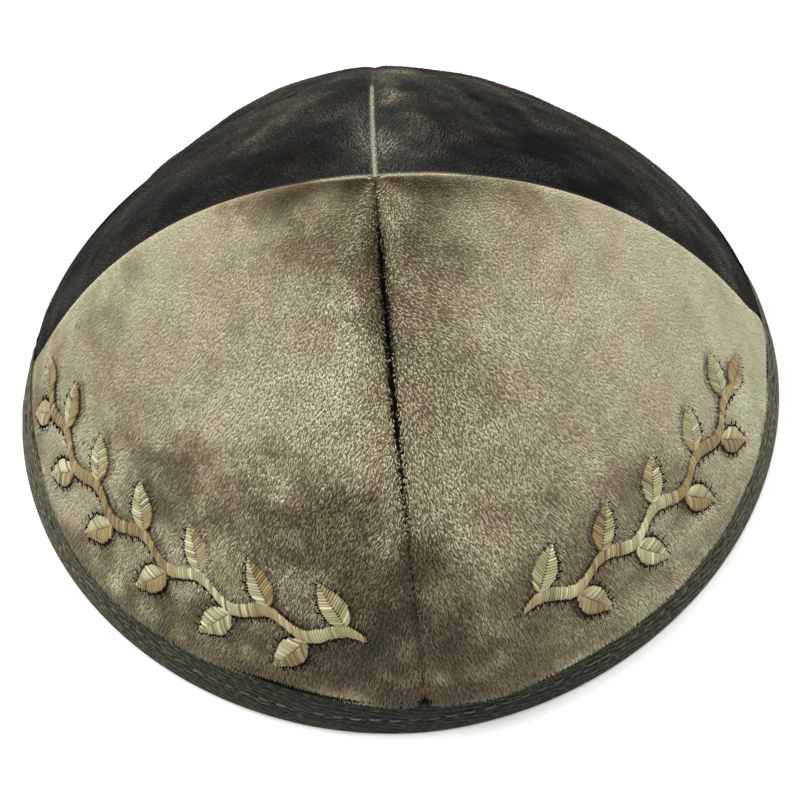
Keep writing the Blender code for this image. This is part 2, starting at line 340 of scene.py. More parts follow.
def place(from_rim, around):
    """Points, directions and curve lengths for places on the crown, whatever their shape. Each angle's
    curve is measured in short steps, and the place is found by how far down that length it lies. All
    the curves are looked up in one go, laid end to end with a gap between them."""
    shape = np.broadcast_shapes(np.shape(from_rim), np.shape(around))
    turns, which = np.unique(np.broadcast_to(around, shape).ravel(), return_inverse=True)
    down = np.linspace(0, math.pi / 2, CURVE_STEPS + 1)
    line = crown(down[None, :], turns[:, None])
    steps = norm(np.diff(line, axis=1))
    lengths = np.concatenate([np.zeros((len(turns), 1)), np.cumsum(steps, axis=1)], axis=1)
    whole = lengths[:, -1]
    base = 2 * np.arange(len(turns))
    table = (lengths / whole[:, None] + base[:, None]).ravel()
    share = 1 - np.broadcast_to(from_rim, shape).ravel() / whole[which]
    found = np.interp(np.clip(share, 0, 1) + base[which], table, np.tile(down, len(turns)))
    found = found.reshape(shape)
    spread_around = turns[which].reshape(shape)
    return crown(found, spread_around), *directions(found, spread_around), whole[which].reshape(shape)


def sink(points, out, from_rim, depth):
    """Points moved into the cloth by depth: level near the rim, and square to the cloth further up."""
    level = unit(out * np.array([1.0, 1.0, 0.0]))
    steep = np.clip(1 - (from_rim - TAPE_OUTSIDE) / TAPE_OUTSIDE, 0, 1)[..., None]
    way = out + (level - out) * steep
    way = way / np.sum(way * out, axis=-1, keepdims=True)
    return points - way * np.broadcast_to(depth, from_rim.shape)[..., None]


def waves(points, length, seed):
    """A smooth random field over points: a sum of plane waves of about one length, in random
    directions, with a spread of about 1."""
    count = 9
    rng = np.random.default_rng(seed)
    ways = unit(rng.normal(size=(count, 3))) * (math.tau / length * rng.uniform(0.7, 1.4, (count, 1)))
    phases = rng.uniform(0, math.tau, count)
    return np.sin(points @ ways.T + phases).sum(axis=-1) * math.sqrt(2 / count)


def swells(around):
    """How much more the velvet swells at the binding, and how far it hangs over it, at each angle: a
    bell curve for each row."""
    swell, droop = np.zeros(np.shape(around)), np.zeros(np.shape(around))
    for row in SWELLS:
        share = bell(turned_by(around, row.around_deg), row.wide_deg)
        swell = swell + row.out_mm * MM * share
        droop = droop + row.down_mm * MM * share
    return swell, droop


def turned_by(around, degrees):
    """How far angles lie past a number of degrees, the short way round, in degrees."""
    return (np.degrees(around) - degrees + 180) % 360 - 180


def seams_of(index):
    """A gore's first and second seam."""
    return SEAMS[index], SEAMS[(index + 1) % len(SEAMS)]


# How far from a seam its tone shows, on the ground and on the pile
GROUND_REACH = 0.42 * MM
PILE_REACH = 0.28 * MM


def near_seams(points):
    """For a gore's grid, the distance of each point to its first and to its second seam."""
    return norm(points - points[:, :1]), norm(points - points[:, -1:])


# The borders, laid flat: along is measured down the stem from its start, and rise from its middle line


@functools.lru_cache(maxsize=None)
def border_line(border):
    """Angles along a border's line, and the length of cloth from its start to each."""
    turns = np.radians(np.linspace(border.start_deg, border.end_deg, CURVE_STEPS))
    line = place(BORDER_RISE, turns)[0]
    return turns, from_start(line)


def borders_on(index):
    return [border for border in BORDERS if border.gore == index]


def to_flat(border, around, from_rim):
    """Places on the crown as (along, rise) on a border."""
    turns, lengths = border_line(border)
    order = np.argsort(turns)
    along = np.interp(around, turns[order], lengths[order])
    ends = turns[order][[0, -1]]
    per_turn = lengths[-1] / abs(turns[-1] - turns[0])
    beyond = np.maximum(ends[0] - around, 0) + np.maximum(around - ends[1], 0)
    along = along + np.where(along > lengths[-1] / 2, 1, -1) * beyond * per_turn
    return join(along, from_rim - BORDER_RISE)


def to_crown(border, flat):
    """The angle and the distance from the rim of flat places on a border."""
    turns, lengths = border_line(border)
    per_length = (turns[-1] - turns[0]) / lengths[-1]
    around = np.interp(flat[..., 0], lengths, turns)
    beyond = flat[..., 0] - np.clip(flat[..., 0], 0, lengths[-1])
    return around + beyond * per_length, BORDER_RISE + flat[..., 1]


def stem_middle(along):
    """The stem waves as a sine, two leaf pitches to a wave."""
    return STEM_WAVE * np.sin(math.pi * along / LEAF_PITCH)


def leaf_swell(share):
    """Half of a leaf's width at a share of its length: a sine that peaks nearer its foot, and no less
    than the foot's own taper."""
    share = np.clip(share, 0, 1)
    return np.maximum(LEAF_FOOT / 2 * (1 - share), LEAF_WIDTH / 2 * np.sin(math.pi * share**0.8))


Leaf = namedtuple("Leaf", "base axis square")


def leaves_of(border):
    """A leaf on each crest of the stem, on its two sides in turn, and one more at its end."""
    length = border_line(border)[1][-1]
    count = int(length / LEAF_PITCH)
    leaves = []
    for k in range(count):
        side = 1 if k % 2 == 0 else -1
        foot = (k + 0.5) * LEAF_PITCH
        base = np.array([foot, stem_middle(foot) + side * STEM_WIDTH / 2])
        axis = np.array([math.cos(LEAF_TILT), side * math.sin(LEAF_TILT)])
        square = np.array([math.sin(LEAF_TILT), -side * math.cos(LEAF_TILT)])
        leaves.append(Leaf(base, axis, square))
    tip = count * LEAF_PITCH
    end = np.array([tip, stem_middle(tip)])
    leaves.append(Leaf(end, np.array([1.0, 0.0]), np.array([0.0, 1.0])))
    return leaves


def beyond_strokes(border, flat):
    """How far flat places lie outside the border's stem and leaves: below 0 within them."""
    length = int(border_line(border)[1][-1] / LEAF_PITCH) * LEAF_PITCH
    across = np.abs(flat[..., 1] - stem_middle(flat[..., 0])) - STEM_WIDTH / 2
    lengthways = np.maximum(-flat[..., 0], flat[..., 0] - length)
    nearest = np.maximum(across, lengthways)
    for leaf in leaves_of(border):
        off = flat - leaf.base
        share = off @ leaf.axis / LEAF_LENGTH
        beside = np.abs(off @ leaf.square) - leaf_swell(share)
        past = np.maximum(-share, share - 1) * LEAF_LENGTH
        nearest = np.minimum(nearest, np.maximum(beside, past))
    return nearest


# The cloth of a gore, as grids of values that everything on it is laid by

Cloth = namedtuple("Cloth", "around from_rim face out ground normal falling to_first to_second")
# The grid's columns stand closer beside the seams.
COLUMN_STEPS = np.linspace(0, 1, GORE_COLUMNS)
COLUMN_SHARES = 0.3 * COLUMN_STEPS + 0.7 * (0.5 - 0.5 * np.cos(math.pi * COLUMN_STEPS))
# Its rows stand closer near the apex and near the rim.
ROW_STEPS = np.linspace(0, 1, GORE_ROWS + 1)
ROW_SHARES = ROW_STEPS - 0.08 * np.sin(math.tau * ROW_STEPS)


def grid_normals(points, fallback):
    """Unit normals of a grid from its rows and columns, with the fallback's where a face has no width."""
    down = np.gradient(points, axis=0)
    across = np.gradient(points, axis=1)
    normal = np.cross(down, across)
    size = norm(normal)[..., None]
    return np.where(size > 1e-12, normal / np.maximum(size, 1e-30), fallback)


def folds(index, points):
    """Height of the folds over a gore's points. Each fold is a long bell, level with the rim but for its
    lean."""
    height = np.zeros(points.shape[:-1])
    for row in FOLDS:
        if int(math.radians(row.around_deg) / QUARTER) != index:
            continue
        around = np.radians([float(row.around_deg)])
        middle, falling, out, _ = place(np.array([row.from_rim_mm * MM]), around)
        level = np.cross(out[0], falling[0])
        lean = math.radians(row.lean_deg)
        along = level * math.cos(lean) - falling[0] * math.sin(lean)
        across = falling[0] * math.cos(lean) + level * math.sin(lean)
        away = points - middle[0]
        off = (away @ along / (row.long_mm * MM)) ** 2 + (away @ across / (row.wide_mm * MM)) ** 2
        height += row.out_mm * MM * np.exp(-off)
    return height


@functools.lru_cache(maxsize=None)
def gore_cloth(index):
    """A gore from the apex to the binding. face is the crown's outer face, which the pile's tips reach,
    and ground is the velvet's woven ground, lower by the pile's height. The ground rolls down into the
    seams, swells over the binding's edge, lies in slow waves and is drawn in by the embroidery."""
    sizes = bpy.context.scene.kippah_velvet
    around = (index + COLUMN_SHARES) * QUARTER
    swell, droop = swells(around)
    edge = TAPE_OUTSIDE + CLEARANCE - droop
    whole = place(0.0, around)[3]
    from_rim = (1 - ROW_SHARES)[:, None] * (whole - edge) + edge
    around = np.broadcast_to(around, from_rim.shape)
    face, falling, out, _ = place(from_rim, around)
    to_first, to_second = near_seams(face)
    near = np.minimum(to_first, to_second)
    depth = np.full(from_rim.shape, sizes.pile_height)
    for seam, away in zip(seams_of(index), (to_first, to_second)):
        depth += seam.dip_mm * MM * bell(away, sizes.seam_roll)
    depth -= (sizes.edge_swell + swell) * bell(from_rim - edge - sizes.edge_rise, sizes.edge_roll)
    settled = np.clip(near / (12 * MM), 0, 1)
    depth -= sizes.slack * settled * (waves(face, 34 * MM, SEED) + 0.5 * waves(face, 15 * MM, SEED + 1))
    depth -= settled * folds(index, face)
    for border in borders_on(index):
        off = beyond_strokes(border, to_flat(border, around, from_rim))
        depth += sizes.pucker * bell(np.maximum(off, 0), sizes.pucker_reach)
    ground = sink(face, out, from_rim, depth)
    return Cloth(around, from_rim, face, out, ground, grid_normals(ground, out), falling,
                 to_first, to_second)


def sample(values, row, column):
    """A grid's values between its points, blended from the four corners round each place."""
    top = np.clip(np.floor(row).astype(int), 0, values.shape[0] - 2)
    left = np.clip(np.floor(column).astype(int), 0, values.shape[1] - 2)
    down, across = row - top, column - left
    if values.ndim == 3:
        down, across = down[..., None], across[..., None]
    upper = values[top, left] * (1 - across) + values[top, left + 1] * across
    lower = values[top + 1, left] * (1 - across) + values[top + 1, left + 1] * across
    return upper * (1 - down) + lower * down


def brushed_and_painted_nap(index, points, around, from_rim):
    """How light the patches make the nap of a gore, partly brushed nap and partly painted light and shade: a
    bell curve round each, with its places pushed to and fro by waves, so that the patches have the ragged
    edges of clouds."""
    front = GORES[index].slot == "velvet_light"
    up_push = 3.2 * waves(points, 13 * MM, SEED + 6) + 1.4 * waves(points, 5 * MM, SEED + 7)
    side_push = 2.4 * waves(points, 12 * MM, SEED + 8)
    shade = np.zeros(around.shape)
    for row in NAP_AND_PAINTED_LIGHT_PATCHES:
        if (row.around_deg > 180) == front:
            pushed = turned_by(around, row.around_deg) + side_push * min(row.wide_deg / 12, 1)
            across = pushed / row.wide_deg
            up = (from_rim / MM + up_push - row.from_rim_mm) / row.tall_mm
            shade += row.shade * np.exp(-(across**2 + up**2))
    return shade


def liveliness(gore, around, from_rim):
    """How unlike its neighbours each tuft is. On the front gores it is most beside the front seam, and
    little at the sides of the cap and near the binding, where the pile lies combed."""
    if gore.slot == "velvet_dark":
        return np.full(np.shape(from_rim), 0.5)
    beside_front = bell(turned_by(around, 270), 48)
    above_binding = np.clip((from_rim - 12 * MM) / (34 * MM), 0, 1)
    return 0.1 + (0.28 + 0.36 * above_binding) * beside_front + 0.07 * above_binding


# Putting meshes together


def grid_quads(rows, columns, wrap=False):
    """The corners of a grid's quads, for points numbered row by row."""
    r, c = np.indices((rows, columns) if wrap else (rows - 1, columns - 1)).reshape(2, -1)
    here, below, beside = r * columns, (r + 1) % rows * columns, (c + 1) % columns
    return join(here + c, below + c, below + beside, here + beside)


def build(name, points, *blocks):
    """A mesh object from an array of points and arrays of faces, each array with its own count of
    corners."""
    mesh = bpy.data.meshes.new(name)
    mesh.vertices.add(len(points))
    mesh.vertices.foreach_set("co", np.asarray(points, np.float32).ravel())
    corners = np.concatenate([block.ravel() for block in blocks]).astype(np.int32)
    counts = np.concatenate([np.full(len(block), block.shape[1]) for block in blocks])
    mesh.loops.add(len(corners))
    mesh.loops.foreach_set("vertex_index", corners)
    mesh.polygons.add(len(counts))
    mesh.polygons.foreach_set("loop_start", (np.cumsum(counts) - counts).astype(np.int32))
    mesh.update(calc_edges=True)
    piece = bpy.data.objects.new(name, mesh)
    bpy.context.scene.collection.objects.link(piece)
    return piece


def give_values(piece, **named):
    """Stores a value for each point of a piece, for its material to read."""
    for name, values in named.items():
        layer = piece.data.attributes.new(name, "FLOAT", "POINT")
        layer.data.foreach_set("value", np.asarray(values, np.float32).ravel())


def give_map(piece, name, places):
    """Stores a place on a flat map for each point of a piece, or for each corner of its faces."""
    corners = np.zeros(len(piece.data.loops), np.int32)
    piece.data.loops.foreach_get("vertex_index", corners)
    if len(places) == len(piece.data.vertices):
        places = places[corners]
    layer = piece.data.uv_layers.new(name=name, do_init=False)
    layer.uv.foreach_set("vector", np.asarray(places, np.float32).ravel())


def hand_over(piece, finish, slot, *nodes):
    """Gives a piece its material, hides the parts of the model that it stands in for, and makes it move with
    the cap.
    """
    piece.data.materials.append(finish)
    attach(piece, "root")
    if nodes:
        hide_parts(*nodes)


def bake_cells(count, corners):
    """A square of its own on the unit map for each of count small shapes, with each shape's points at
    the given places within its square."""
    across = math.ceil(math.sqrt(count))
    number = np.arange(count)
    start = join(number % across, number // across) / across
    return start[:, None, :] + np.asarray(corners)[None] / across


# Materials


def from_hex(code, alpha=1.0):
    """A linear colour from an sRGB hex code."""
    parts = [int(code[k : k + 2], 16) / 255 for k in (1, 3, 5)]
    linear = [p / 12.92 if p <= 0.04045 else ((p + 0.055) / 1.055) ** 2.4 for p in parts]
    return (*linear, alpha)


def feed(tree, node, feeds):
    """Gives a node's inputs their links or values."""
    for name, value in feeds.items():
        if isinstance(value, bpy.types.NodeSocket):
            tree.links.new(value, node.inputs[name])
        else:
            node.inputs[name].default_value = value


def add(tree, kind, feeds=None, **settings):
    """Adds a node, sets its settings, and feeds its inputs."""
    node = tree.nodes.new(kind)
    for name, value in settings.items():
        setattr(node, name, value)
    feed(tree, node, feeds or {})
    return node


def new_material(name):
    """A node material with a plain Principled surface, and its tree."""
    material = bpy.data.materials.new(name)
    material.use_nodes = True
    return material, material.node_tree


def coat(material, **feeds):
    """Feeds the inputs of a material's surface, named with underscores for their spaces."""
    tree = material.node_tree
    feed(tree, tree.nodes["Principled BSDF"], {name.replace("_", " "): feeds[name] for name in feeds})
    return material


def read(tree, name):
    """A value that a piece carries at each point."""
    return add(tree, "ShaderNodeAttribute", attribute_name=name).outputs["Fac"]


def noise(tree, place_on, period, detail):
    """Soft noise that changes over about one period."""
    node = add(tree, "ShaderNodeTexNoise", {"Vector": place_on, "Scale": 1 / period, "Detail": detail})
    return node.outputs["Fac"]


def on_object(tree):
    """The place on the object, in metres."""
    return add(tree, "ShaderNodeTexCoord").outputs["Object"]


def mix(tree, share, first, second, blend="MIX"):
    """One colour blended into another."""
    return add(tree, "ShaderNodeMix", {0: share, 6: first, 7: second}, data_type="RGBA",
               blend_type=blend).outputs[2]


def bump(tree, height, strength, distance):
    """A fine relief for a surface."""
    node = add(tree, "ShaderNodeBump", {"Height": height, "Strength": strength, "Distance": distance})
    return node.outputs["Normal"]


def work_out(tree, operation, *values, clamp=False):
    """What an operation makes of its values."""
    node = add(tree, "ShaderNodeMath", dict(enumerate(values)), operation=operation, use_clamp=clamp)
    return node.outputs[0]


def stretch(tree, value, start, end, low=0.0, high=1.0):
    """A value between start and end, stretched to run from low to high."""
    feeds = {"Value": value, "From Min": start, "From Max": end, "To Min": low, "To Max": high}
    return add(tree, "ShaderNodeMapRange", feeds).outputs["Result"]


def ramp(tree, factor, stops):
    """A colour ramp through (place, hex) stops."""
    node = add(tree, "ShaderNodeValToRGB", {"Fac": factor})
    elements = node.color_ramp.elements
    while len(elements) < len(stops):
        elements.new(1.0)
    for element, (position, code) in zip(elements, stops):
        element.position = position
        element.color = from_hex(code)
    return node.outputs["Color"]


# One velvet in two ramps: the first for the front gores in painted light, the second for the back gores in
# painted shade
PAINTED_LIT_NAP = ((0.0, "#140f09"), (0.22, "#453a29"), (0.48, "#8b8166"), (0.74, "#cfcab1"), (1.0, "#f1eee0"))
PAINTED_SHADED_NAP = ((0.0, "#060606"), (0.2, "#181818"), (0.4, "#3a3937"), (0.62, "#676357"), (1.0, "#d0cab0"))


def pile_material(name, stops, gloss, sheen, tint, hues):
    """Cut pile of silky yarn, woven double and sheared: matt tufts with a soft bloom at a low angle.
    The eye sees short pale flecks over dark gaps, so each tuft is given painted shade that darkens it to its
    root, and no two match, and the dye drifts a little between two hues over a centimetre or so."""
    material, tree = new_material(name)
    unlike = stretch(tree, read(tree, "lot"), 0.0, 1.0, 0.5, 1.4)
    painted_root_shade = stretch(tree, read(tree, "rise"), 0.0, 1.0, 0.5, 1.0)
    shade = work_out(tree, "MULTIPLY", read(tree, "nap"), unlike)
    shade = work_out(tree, "MULTIPLY", shade, painted_root_shade, clamp=True)
    hue = ramp(tree, noise(tree, on_object(tree), 11 * MM, 3.0), ((0.36, hues[0]), (0.64, hues[1])))
    return coat(material, Base_Color=mix(tree, 1.0, ramp(tree, shade, stops), hue, "MULTIPLY"),
                Roughness=0.7, Specular_IOR_Level=gloss, Sheen_Weight=sheen, Sheen_Roughness=0.45,
                Sheen_Tint=from_hex(tint))


def ground_material(name, dark, stops, pale):
    """The velvet's woven ground, seen only between tufts and in the seams. It is given painted shade, a
    good deal darker than the pile over it, and painted shadow in the front seam, at the embroidery's lower
    edges and where it is pressed under the binding; it is pale in the other seams, partly where the cloth's
    turned edge shows and partly as a painted highlight along their ridges."""
    material, tree = new_material(name)
    colour = ramp(tree, read(tree, "nap"), stops)
    for layer, tone in (("bare", dark), ("turned", pale)):
        colour = mix(tree, read(tree, layer), colour, from_hex(tone))
    weave = bump(tree, noise(tree, on_object(tree), 0.5 * MM, 2.0), 0.6, 0.2 * MM)
    return coat(material, Base_Color=colour, Normal=weave, Roughness=0.9, Specular_IOR_Level=0.08)


def backing_material():
    """Plain-woven cotton backing, seen only from below: a fine even weave with a matt face."""
    material, tree = new_material("cotton_backing_plain_weave")
    place_on = on_object(tree)
    colour = ramp(tree, noise(tree, place_on, 3 * MM, 6.0), ((0.3, "#5f5a48"), (0.7, "#857f69")))
    thread = {"Vector": place_on, "Scale": 1 / (0.9 * MM) * 0.5}
    warp, weft = [add(tree, "ShaderNodeTexWave", thread, bands_direction=way).outputs["Fac"] for way in "XY"]
    weave = bump(tree, work_out(tree, "MULTIPLY", warp, weft), 0.5, 0.2 * MM)
    return coat(material, Base_Color=colour, Normal=weave, Roughness=0.9, Specular_IOR_Level=0.2)


# The pieces


def length(name, description, millimetres):
    """A setting that is a length."""
    return FloatProperty(name=name, description=description, default=millimetres * MM, unit="LENGTH",
                         subtype="DISTANCE", precision=5)


def angle(name, description, degrees):
    """A setting that is an angle."""
    return FloatProperty(name=name, description=description, default=math.radians(degrees), subtype="ANGLE")


class VelvetSizes(PropertyGroup):
    """How the velvet lies and how its pile is cut."""

    pile_height: length("Pile height", "From the woven ground to the tips of the pile", 0.6)
    tuft_length: length("Tuft length", "Length of one tuft of pile", 0.92)
    tuft_width: length("Tuft width", "Width of one tuft at its root", 0.36)
    tuft_pitch: length("Tuft pitch", "Mean distance from a tuft to the next", 0.324)
    lean: angle("Lean", "Angle of the laid pile above the ground", 23)
    seam_roll: length("Seam roll", "Distance from a seam at which the roll begins to fade", 1.6)
    edge_swell: length("Edge swell", "How far the cloth swells over the binding's edge", 0.45)
    edge_rise: length("Edge rise", "How far above the binding the cloth swells most", 1.4)
    edge_roll: length("Edge roll", "Distance over which that swelling fades", 3.2)
    # Painted light on each fold's ridge and painted shade in its hollow
    fold_painted_shading: FloatProperty(
        name="Fold shade", description="How much lighter the nap looks on a fold, for each mm of its height",
        default=0.16)
    slack: length("Slack", "Height of the slow waves that the cloth lies in", 0.22)
    pucker: length("Pucker", "How far the embroidery draws the cloth in", 0.3)
    pucker_reach: length("Pucker reach", "How far from a stitched stroke the cloth is drawn in", 1.6)


class StitchSizes(PropertyGroup):
    """How the borders and the binding are stitched."""

    thread: length("Thread", "Thickness of the embroidery thread, drawn as coarse as it needs to show", 0.60)
    spacing: length("Spacing", "Distance from a satin stitch to the next", 0.51)
    crown: length("Crown", "Height of the satin stitch over the pile's tips", 0.24)
    slant: length("Slant", "How far a leaf's stitches run forward from its midrib to its edge", 1.7)
    run_length: length("Running stitch", "Length of a running stitch on the binding", 2.4)
    run_pitch: length("Running pitch", "Distance from a running stitch to the next", 3.6)
    run_rise: length("Running line", "Distance of the running stitches from the rim", 5.7)


class StageSettings(PropertyGroup):
    """The light and the camera."""

    elevation: angle("Elevation", "The camera's height above the horizon", 54.0)
    turn: angle("Turn", "How far the camera stands to the left of the front", 1.347)
    roll: angle("Roll", "How far the picture is turned", -2.447)
    distance: length("Distance", "From the camera to the middle of the rim", 313.65)
    lens: FloatProperty(name="Lens", description="Focal length in millimetres", default=62.27)


class KIPPAH_OT_velvet(Operator):
    """Make the four gores' cloth: the woven ground outside and the cotton backing inside"""

    bl_idname = "kippah.velvet"
    bl_label = "Velvet ground"

    def execute(self, context):
        backing = backing_material()
        # Each ground is the velvet's ground in painted shade. Its first hex is painted shadow, for the front
        # seam, the strokes' lower edges and the edge under the binding, and its last is the other seams'
        # turned edge with a painted highlight along their ridges.
        grounds = {
            "velvet_light": ground_material("velvet_ground_front_painted_shade", "#080604", PAINTED_LIT_NAP, "#c9c3a6"),
            "velvet_dark": ground_material("velvet_ground_back_painted_shade", "#050505", PAINTED_SHADED_NAP, "#b0aa92"),
        }
        for index, gore in enumerate(GORES):
            make_gore(index, grounds[gore.slot], backing)
        return {"FINISHED"}


def make_gore(index, ground_finish, backing):
    """One gore as a closed wall between two grids: outside, the ground from the apex to the binding and
    its pressed edge inside the fold, and inside, the backing."""
    gore, cloth = GORES[index], gore_cloth(index)
    hem = cloth.from_rim[-1] + HEM_LIFT
    tucked = np.array([TAPE_OUTSIDE + CLEARANCE / 2, 0.7 * TAPE_OUTSIDE, 0.4 * TAPE_OUTSIDE,
                       TAPE + CLEARANCE])
    low_rim = np.vstack([hem, np.maximum(hem, tucked[0]), tucked[:, None] * np.ones(GORE_COLUMNS)])
    low_face, low_falling, low_out, _ = place(low_rim, cloth.around[0])
    face = np.vstack([cloth.face, low_face])
    out = np.vstack([cloth.out, low_out])
    falling = np.vstack([cloth.falling, low_falling])
    from_rim = np.vstack([cloth.from_rim, low_rim])
    low_depth = np.full(low_rim.shape, CLOTH_WALL - PRESSED_WALL)
    low_depth[:2] = -0.25 * MM
    pressed = sink(low_face, low_out, low_rim, low_depth)
    outer = part(index, np.vstack([cloth.ground, pressed]), falling, out)
    inner = part(index, sink(face, out, from_rim, CLOTH_WALL), falling, out)
    rows, columns = from_rim.shape
    shape = np.vstack([outer.reshape(-1, 3), inner.reshape(-1, 3)])
    size = rows * columns
    number = np.arange(size).reshape(rows, columns)
    rim = np.concatenate([number[0], number[1:, -1], number[-1, -2::-1], number[-2:0:-1, 0]])
    ahead = np.roll(rim, -1)
    walls = join(rim, ahead, ahead + size, rim + size)
    quads = grid_quads(rows, columns)
    piece = build("velvet_" + gore.name, shape, quads, quads[:, ::-1] + size, walls)
    which = np.zeros(len(piece.data.polygons), np.int32)
    which[len(quads):2 * len(quads)] = 1
    piece.data.polygons.foreach_set("material_index", which)
    piece.data.shade_smooth()
    around = np.broadcast_to(cloth.around[0], from_rim.shape)
    # The ground carries painted shade: darker between tufts that differ, and hardly at all through combed
    # pile.
    nap = gore.nap + brushed_and_painted_nap(index, face, around, from_rim)
    nap *= 0.70 - 0.36 * liveliness(gore, around, from_rim)
    shows = beside_seams(index, cloth.from_rim, cloth.to_first, cloth.to_second, GROUND_REACH)
    # Painted shadow on the ground at the strokes' lower edges
    for border in borders_on(index):
        off, downhill = beside_strokes(border, cloth.around, cloth.from_rim)
        shows -= downhill * bell(np.maximum(off - 0.7 * MM, 0), 0.7 * MM)
    # The edge pressed inside the binding is painted dark, as shade under the tape
    shows = np.vstack([shows, np.full(low_rim.shape, -1.0)])
    outside = {"nap": nap, "bare": np.clip(-shows, 0, 1), "turned": np.clip(shows, 0, 1)}
    give_values(piece, **{name: np.stack([outside[name], np.zeros(nap.shape)]) for name in outside})
    hand_over(piece, ground_finish, gore.slot, "panel_" + gore.name)
    piece.data.materials.append(backing)


def part(index, points, falling, out):
    """A gore's grid whose first and last columns stand back from the seams by half of what each seam is
    open."""
    first, second = [seam.open_mm * MM / 2 for seam in seams_of(index)]
    square = unit(np.cross(out, falling))
    moved = points.copy()
    moved[:, 0] += square[:, 0] * first
    moved[:, -1] -= square[:, -1] * second
    moved[0] = points[0] + square[0, 0] * first - square[0, -1] * second
    return moved


def beside_seams(index, from_rim, to_first, to_second, reach):
    """How pale the cloth is for the seams beside it, partly their turned edge and partly a painted
    highlight: a narrow bell on each, above where it begins to show, and below 0 where a seam shows painted
    shadow."""
    shows = np.zeros(from_rim.shape)
    for seam, away in zip(seams_of(index), (to_first, to_second)):
        above = np.maximum(fade(from_rim, seam.pale_from_mm, 6), 0.12)
        wider = 1.0
        # A dark seam is wider than a pale one, and thins out towards the apex.
        if seam.pale < 0:
            wider = 2.2
            above *= 1 - 0.65 * fade(from_rim, 100, 6)
        shows += seam.pale * above * bell(away, reach * wider)
    return shows


class KIPPAH_OT_pile(Operator):
    """Grow the pile on the four gores"""

    bl_idname = "kippah.pile"
    bl_label = "Velvet pile"

    def execute(self, context):
        # The olive-taupe pile carries painted light, and the charcoal pile is the same velvet in painted
        # shade.
        finishes = {
            "velvet_light": pile_material("silk_pile_olive_taupe_painted_lit", PAINTED_LIT_NAP, 0.3, 0.2, "#e8e2cc",
                                          ("#fffaf1", "#fafdf0")),
            "velvet_dark": pile_material("silk_pile_in_painted_shade", PAINTED_SHADED_NAP, 0.05, 0.02, "#9a9488",
                                         ("#ffeedb", "#f1f7f8")),
        }
        for index, gore in enumerate(GORES):
            grow_pile(index, finishes[gore.slot])
        return {"FINISHED"}


# The plastic ratio: steps by its inverse and by its inverse squared keep clear of each other.
PLASTIC = 1.324717957244746


def scatter(cloth, pitch, rng):
    """Rows and columns of places spread evenly over the cloth. Two steady sequences with no common
    period give them, one through the rows by their areas and one across, and each place is nudged."""
    areas = cell_areas(cloth.ground).sum(axis=1)
    count = int(areas.sum() / pitch**2)
    number = np.arange(count)
    first = (0.5 + number / PLASTIC) % 1
    second = (0.5 + number / PLASTIC**2) % 1
    reached = np.concatenate([[0], np.cumsum(areas)]) / areas.sum()
    row = np.interp(first, reached, np.arange(GORE_ROWS + 1))
    tall = steps_along(cloth.ground[:, GORE_COLUMNS // 2]).mean()
    wide = norm(np.diff(cloth.ground, axis=1)).sum(axis=1)
    nudge = rng.normal(0, 0.4 * pitch, (2, count))
    second = second + nudge[1] / np.interp(row, np.arange(GORE_ROWS + 1), wide + 2 * pitch)
    row = np.clip(row + nudge[0] / tall, 0.02, GORE_ROWS - 0.02)
    return row, np.interp(np.clip(second % 1, 0.0005, 0.9995), COLUMN_SHARES, np.arange(GORE_COLUMNS))


def beside_strokes(border, around, from_rim):
    """How far places are from a border's strokes, and how much they lie at a stroke's lower edge rather
    than its upper one, from 0 to 1."""
    flat = to_flat(border, around, from_rim)
    off = beyond_strokes(border, flat)
    step = 0.3 * MM
    lower = flat + step * DOWNHILL
    return off, np.clip((beyond_strokes(border, lower) - off) / step, 0, 1)


def drawn_pile(index, around, from_rim):
    """How far tufts are from the embroidery, and how close above a stroke each is, where the pile stands
    up against the stitches and is given a painted highlight."""
    off, uphill = np.full(len(around), 1.0), np.zeros(len(around))
    for border in borders_on(index):
        off, downhill = beside_strokes(border, around, from_rim)
        uphill = (1 - downhill) * bell(off, 1.1 * MM)
    return off, uphill


# Each gore's pile is two pieces, parted at a share of the way down it.
PILE_PARTS = ("crown", "rim")
PILE_SPLIT = 0.68
# A tuft: its place on the cloth, how far down the gore that is as a share, how far off the embroidery and
# how close above it, and for a bare seam beside it, how much painted shadow darkens it and how far astray.
Tufts = namedtuple(
    "Tufts", "around from_rim to_first to_second root normal falling up_share off uphill shadow astray")


def root_tufts(index, rng):
    """Scatters the tufts of a gore, and leaves out those that would stand in a bare seam or under the
    embroidery."""
    cloth = gore_cloth(index)
    row, column = scatter(cloth, bpy.context.scene.kippah_velvet.tuft_pitch * GORES[index].coarse, rng)
    count = len(row)
    names = ("around", "from_rim", "to_first", "to_second", "ground", "normal", "falling")
    on_cloth = [sample(getattr(cloth, name), row, column) for name in names]
    around, from_rim, to_first, to_second = on_cloth[:4]
    off, uphill = drawn_pile(index, around, from_rim)
    keep = off > PILE_TO_STROKE
    shadow, astray = np.zeros(count), np.zeros(count)
    # A bare seam is barest high up, though less so beside the apex.
    high = fade(from_rim, 50, 18) * (1 - 0.8 * fade(from_rim, 98, 7))
    for seam, away in zip(seams_of(index), (to_first, to_second)):
        bare = seam.bare_low_mm + (seam.bare_high_mm - seam.bare_low_mm) * high
        keep &= away > bare * rng.uniform(0.5, 1.4, count) * MM
        # The seam is painted shadow, and so are some of the tufts beside it, which point all ways.
        reach = (0.3 + (1.1 + 0.9 * (high > 0.9)) * bare * rng.uniform(0.2, 1, count)) * MM
        beside = (seam.pale < 0) * bell(away, reach) * np.clip(from_rim / MM / 50, 0.35, 1)
        shadow += beside * (rng.uniform(0, 1, count) < 0.6)
        astray += (seam.pale < 0) * bell(away, 1.3 * MM)
    up_share = np.interp(row, np.arange(GORE_ROWS + 1), ROW_SHARES)
    return Tufts(*[values[keep] for values in (*on_cloth, up_share, off, uphill, shadow, astray)])


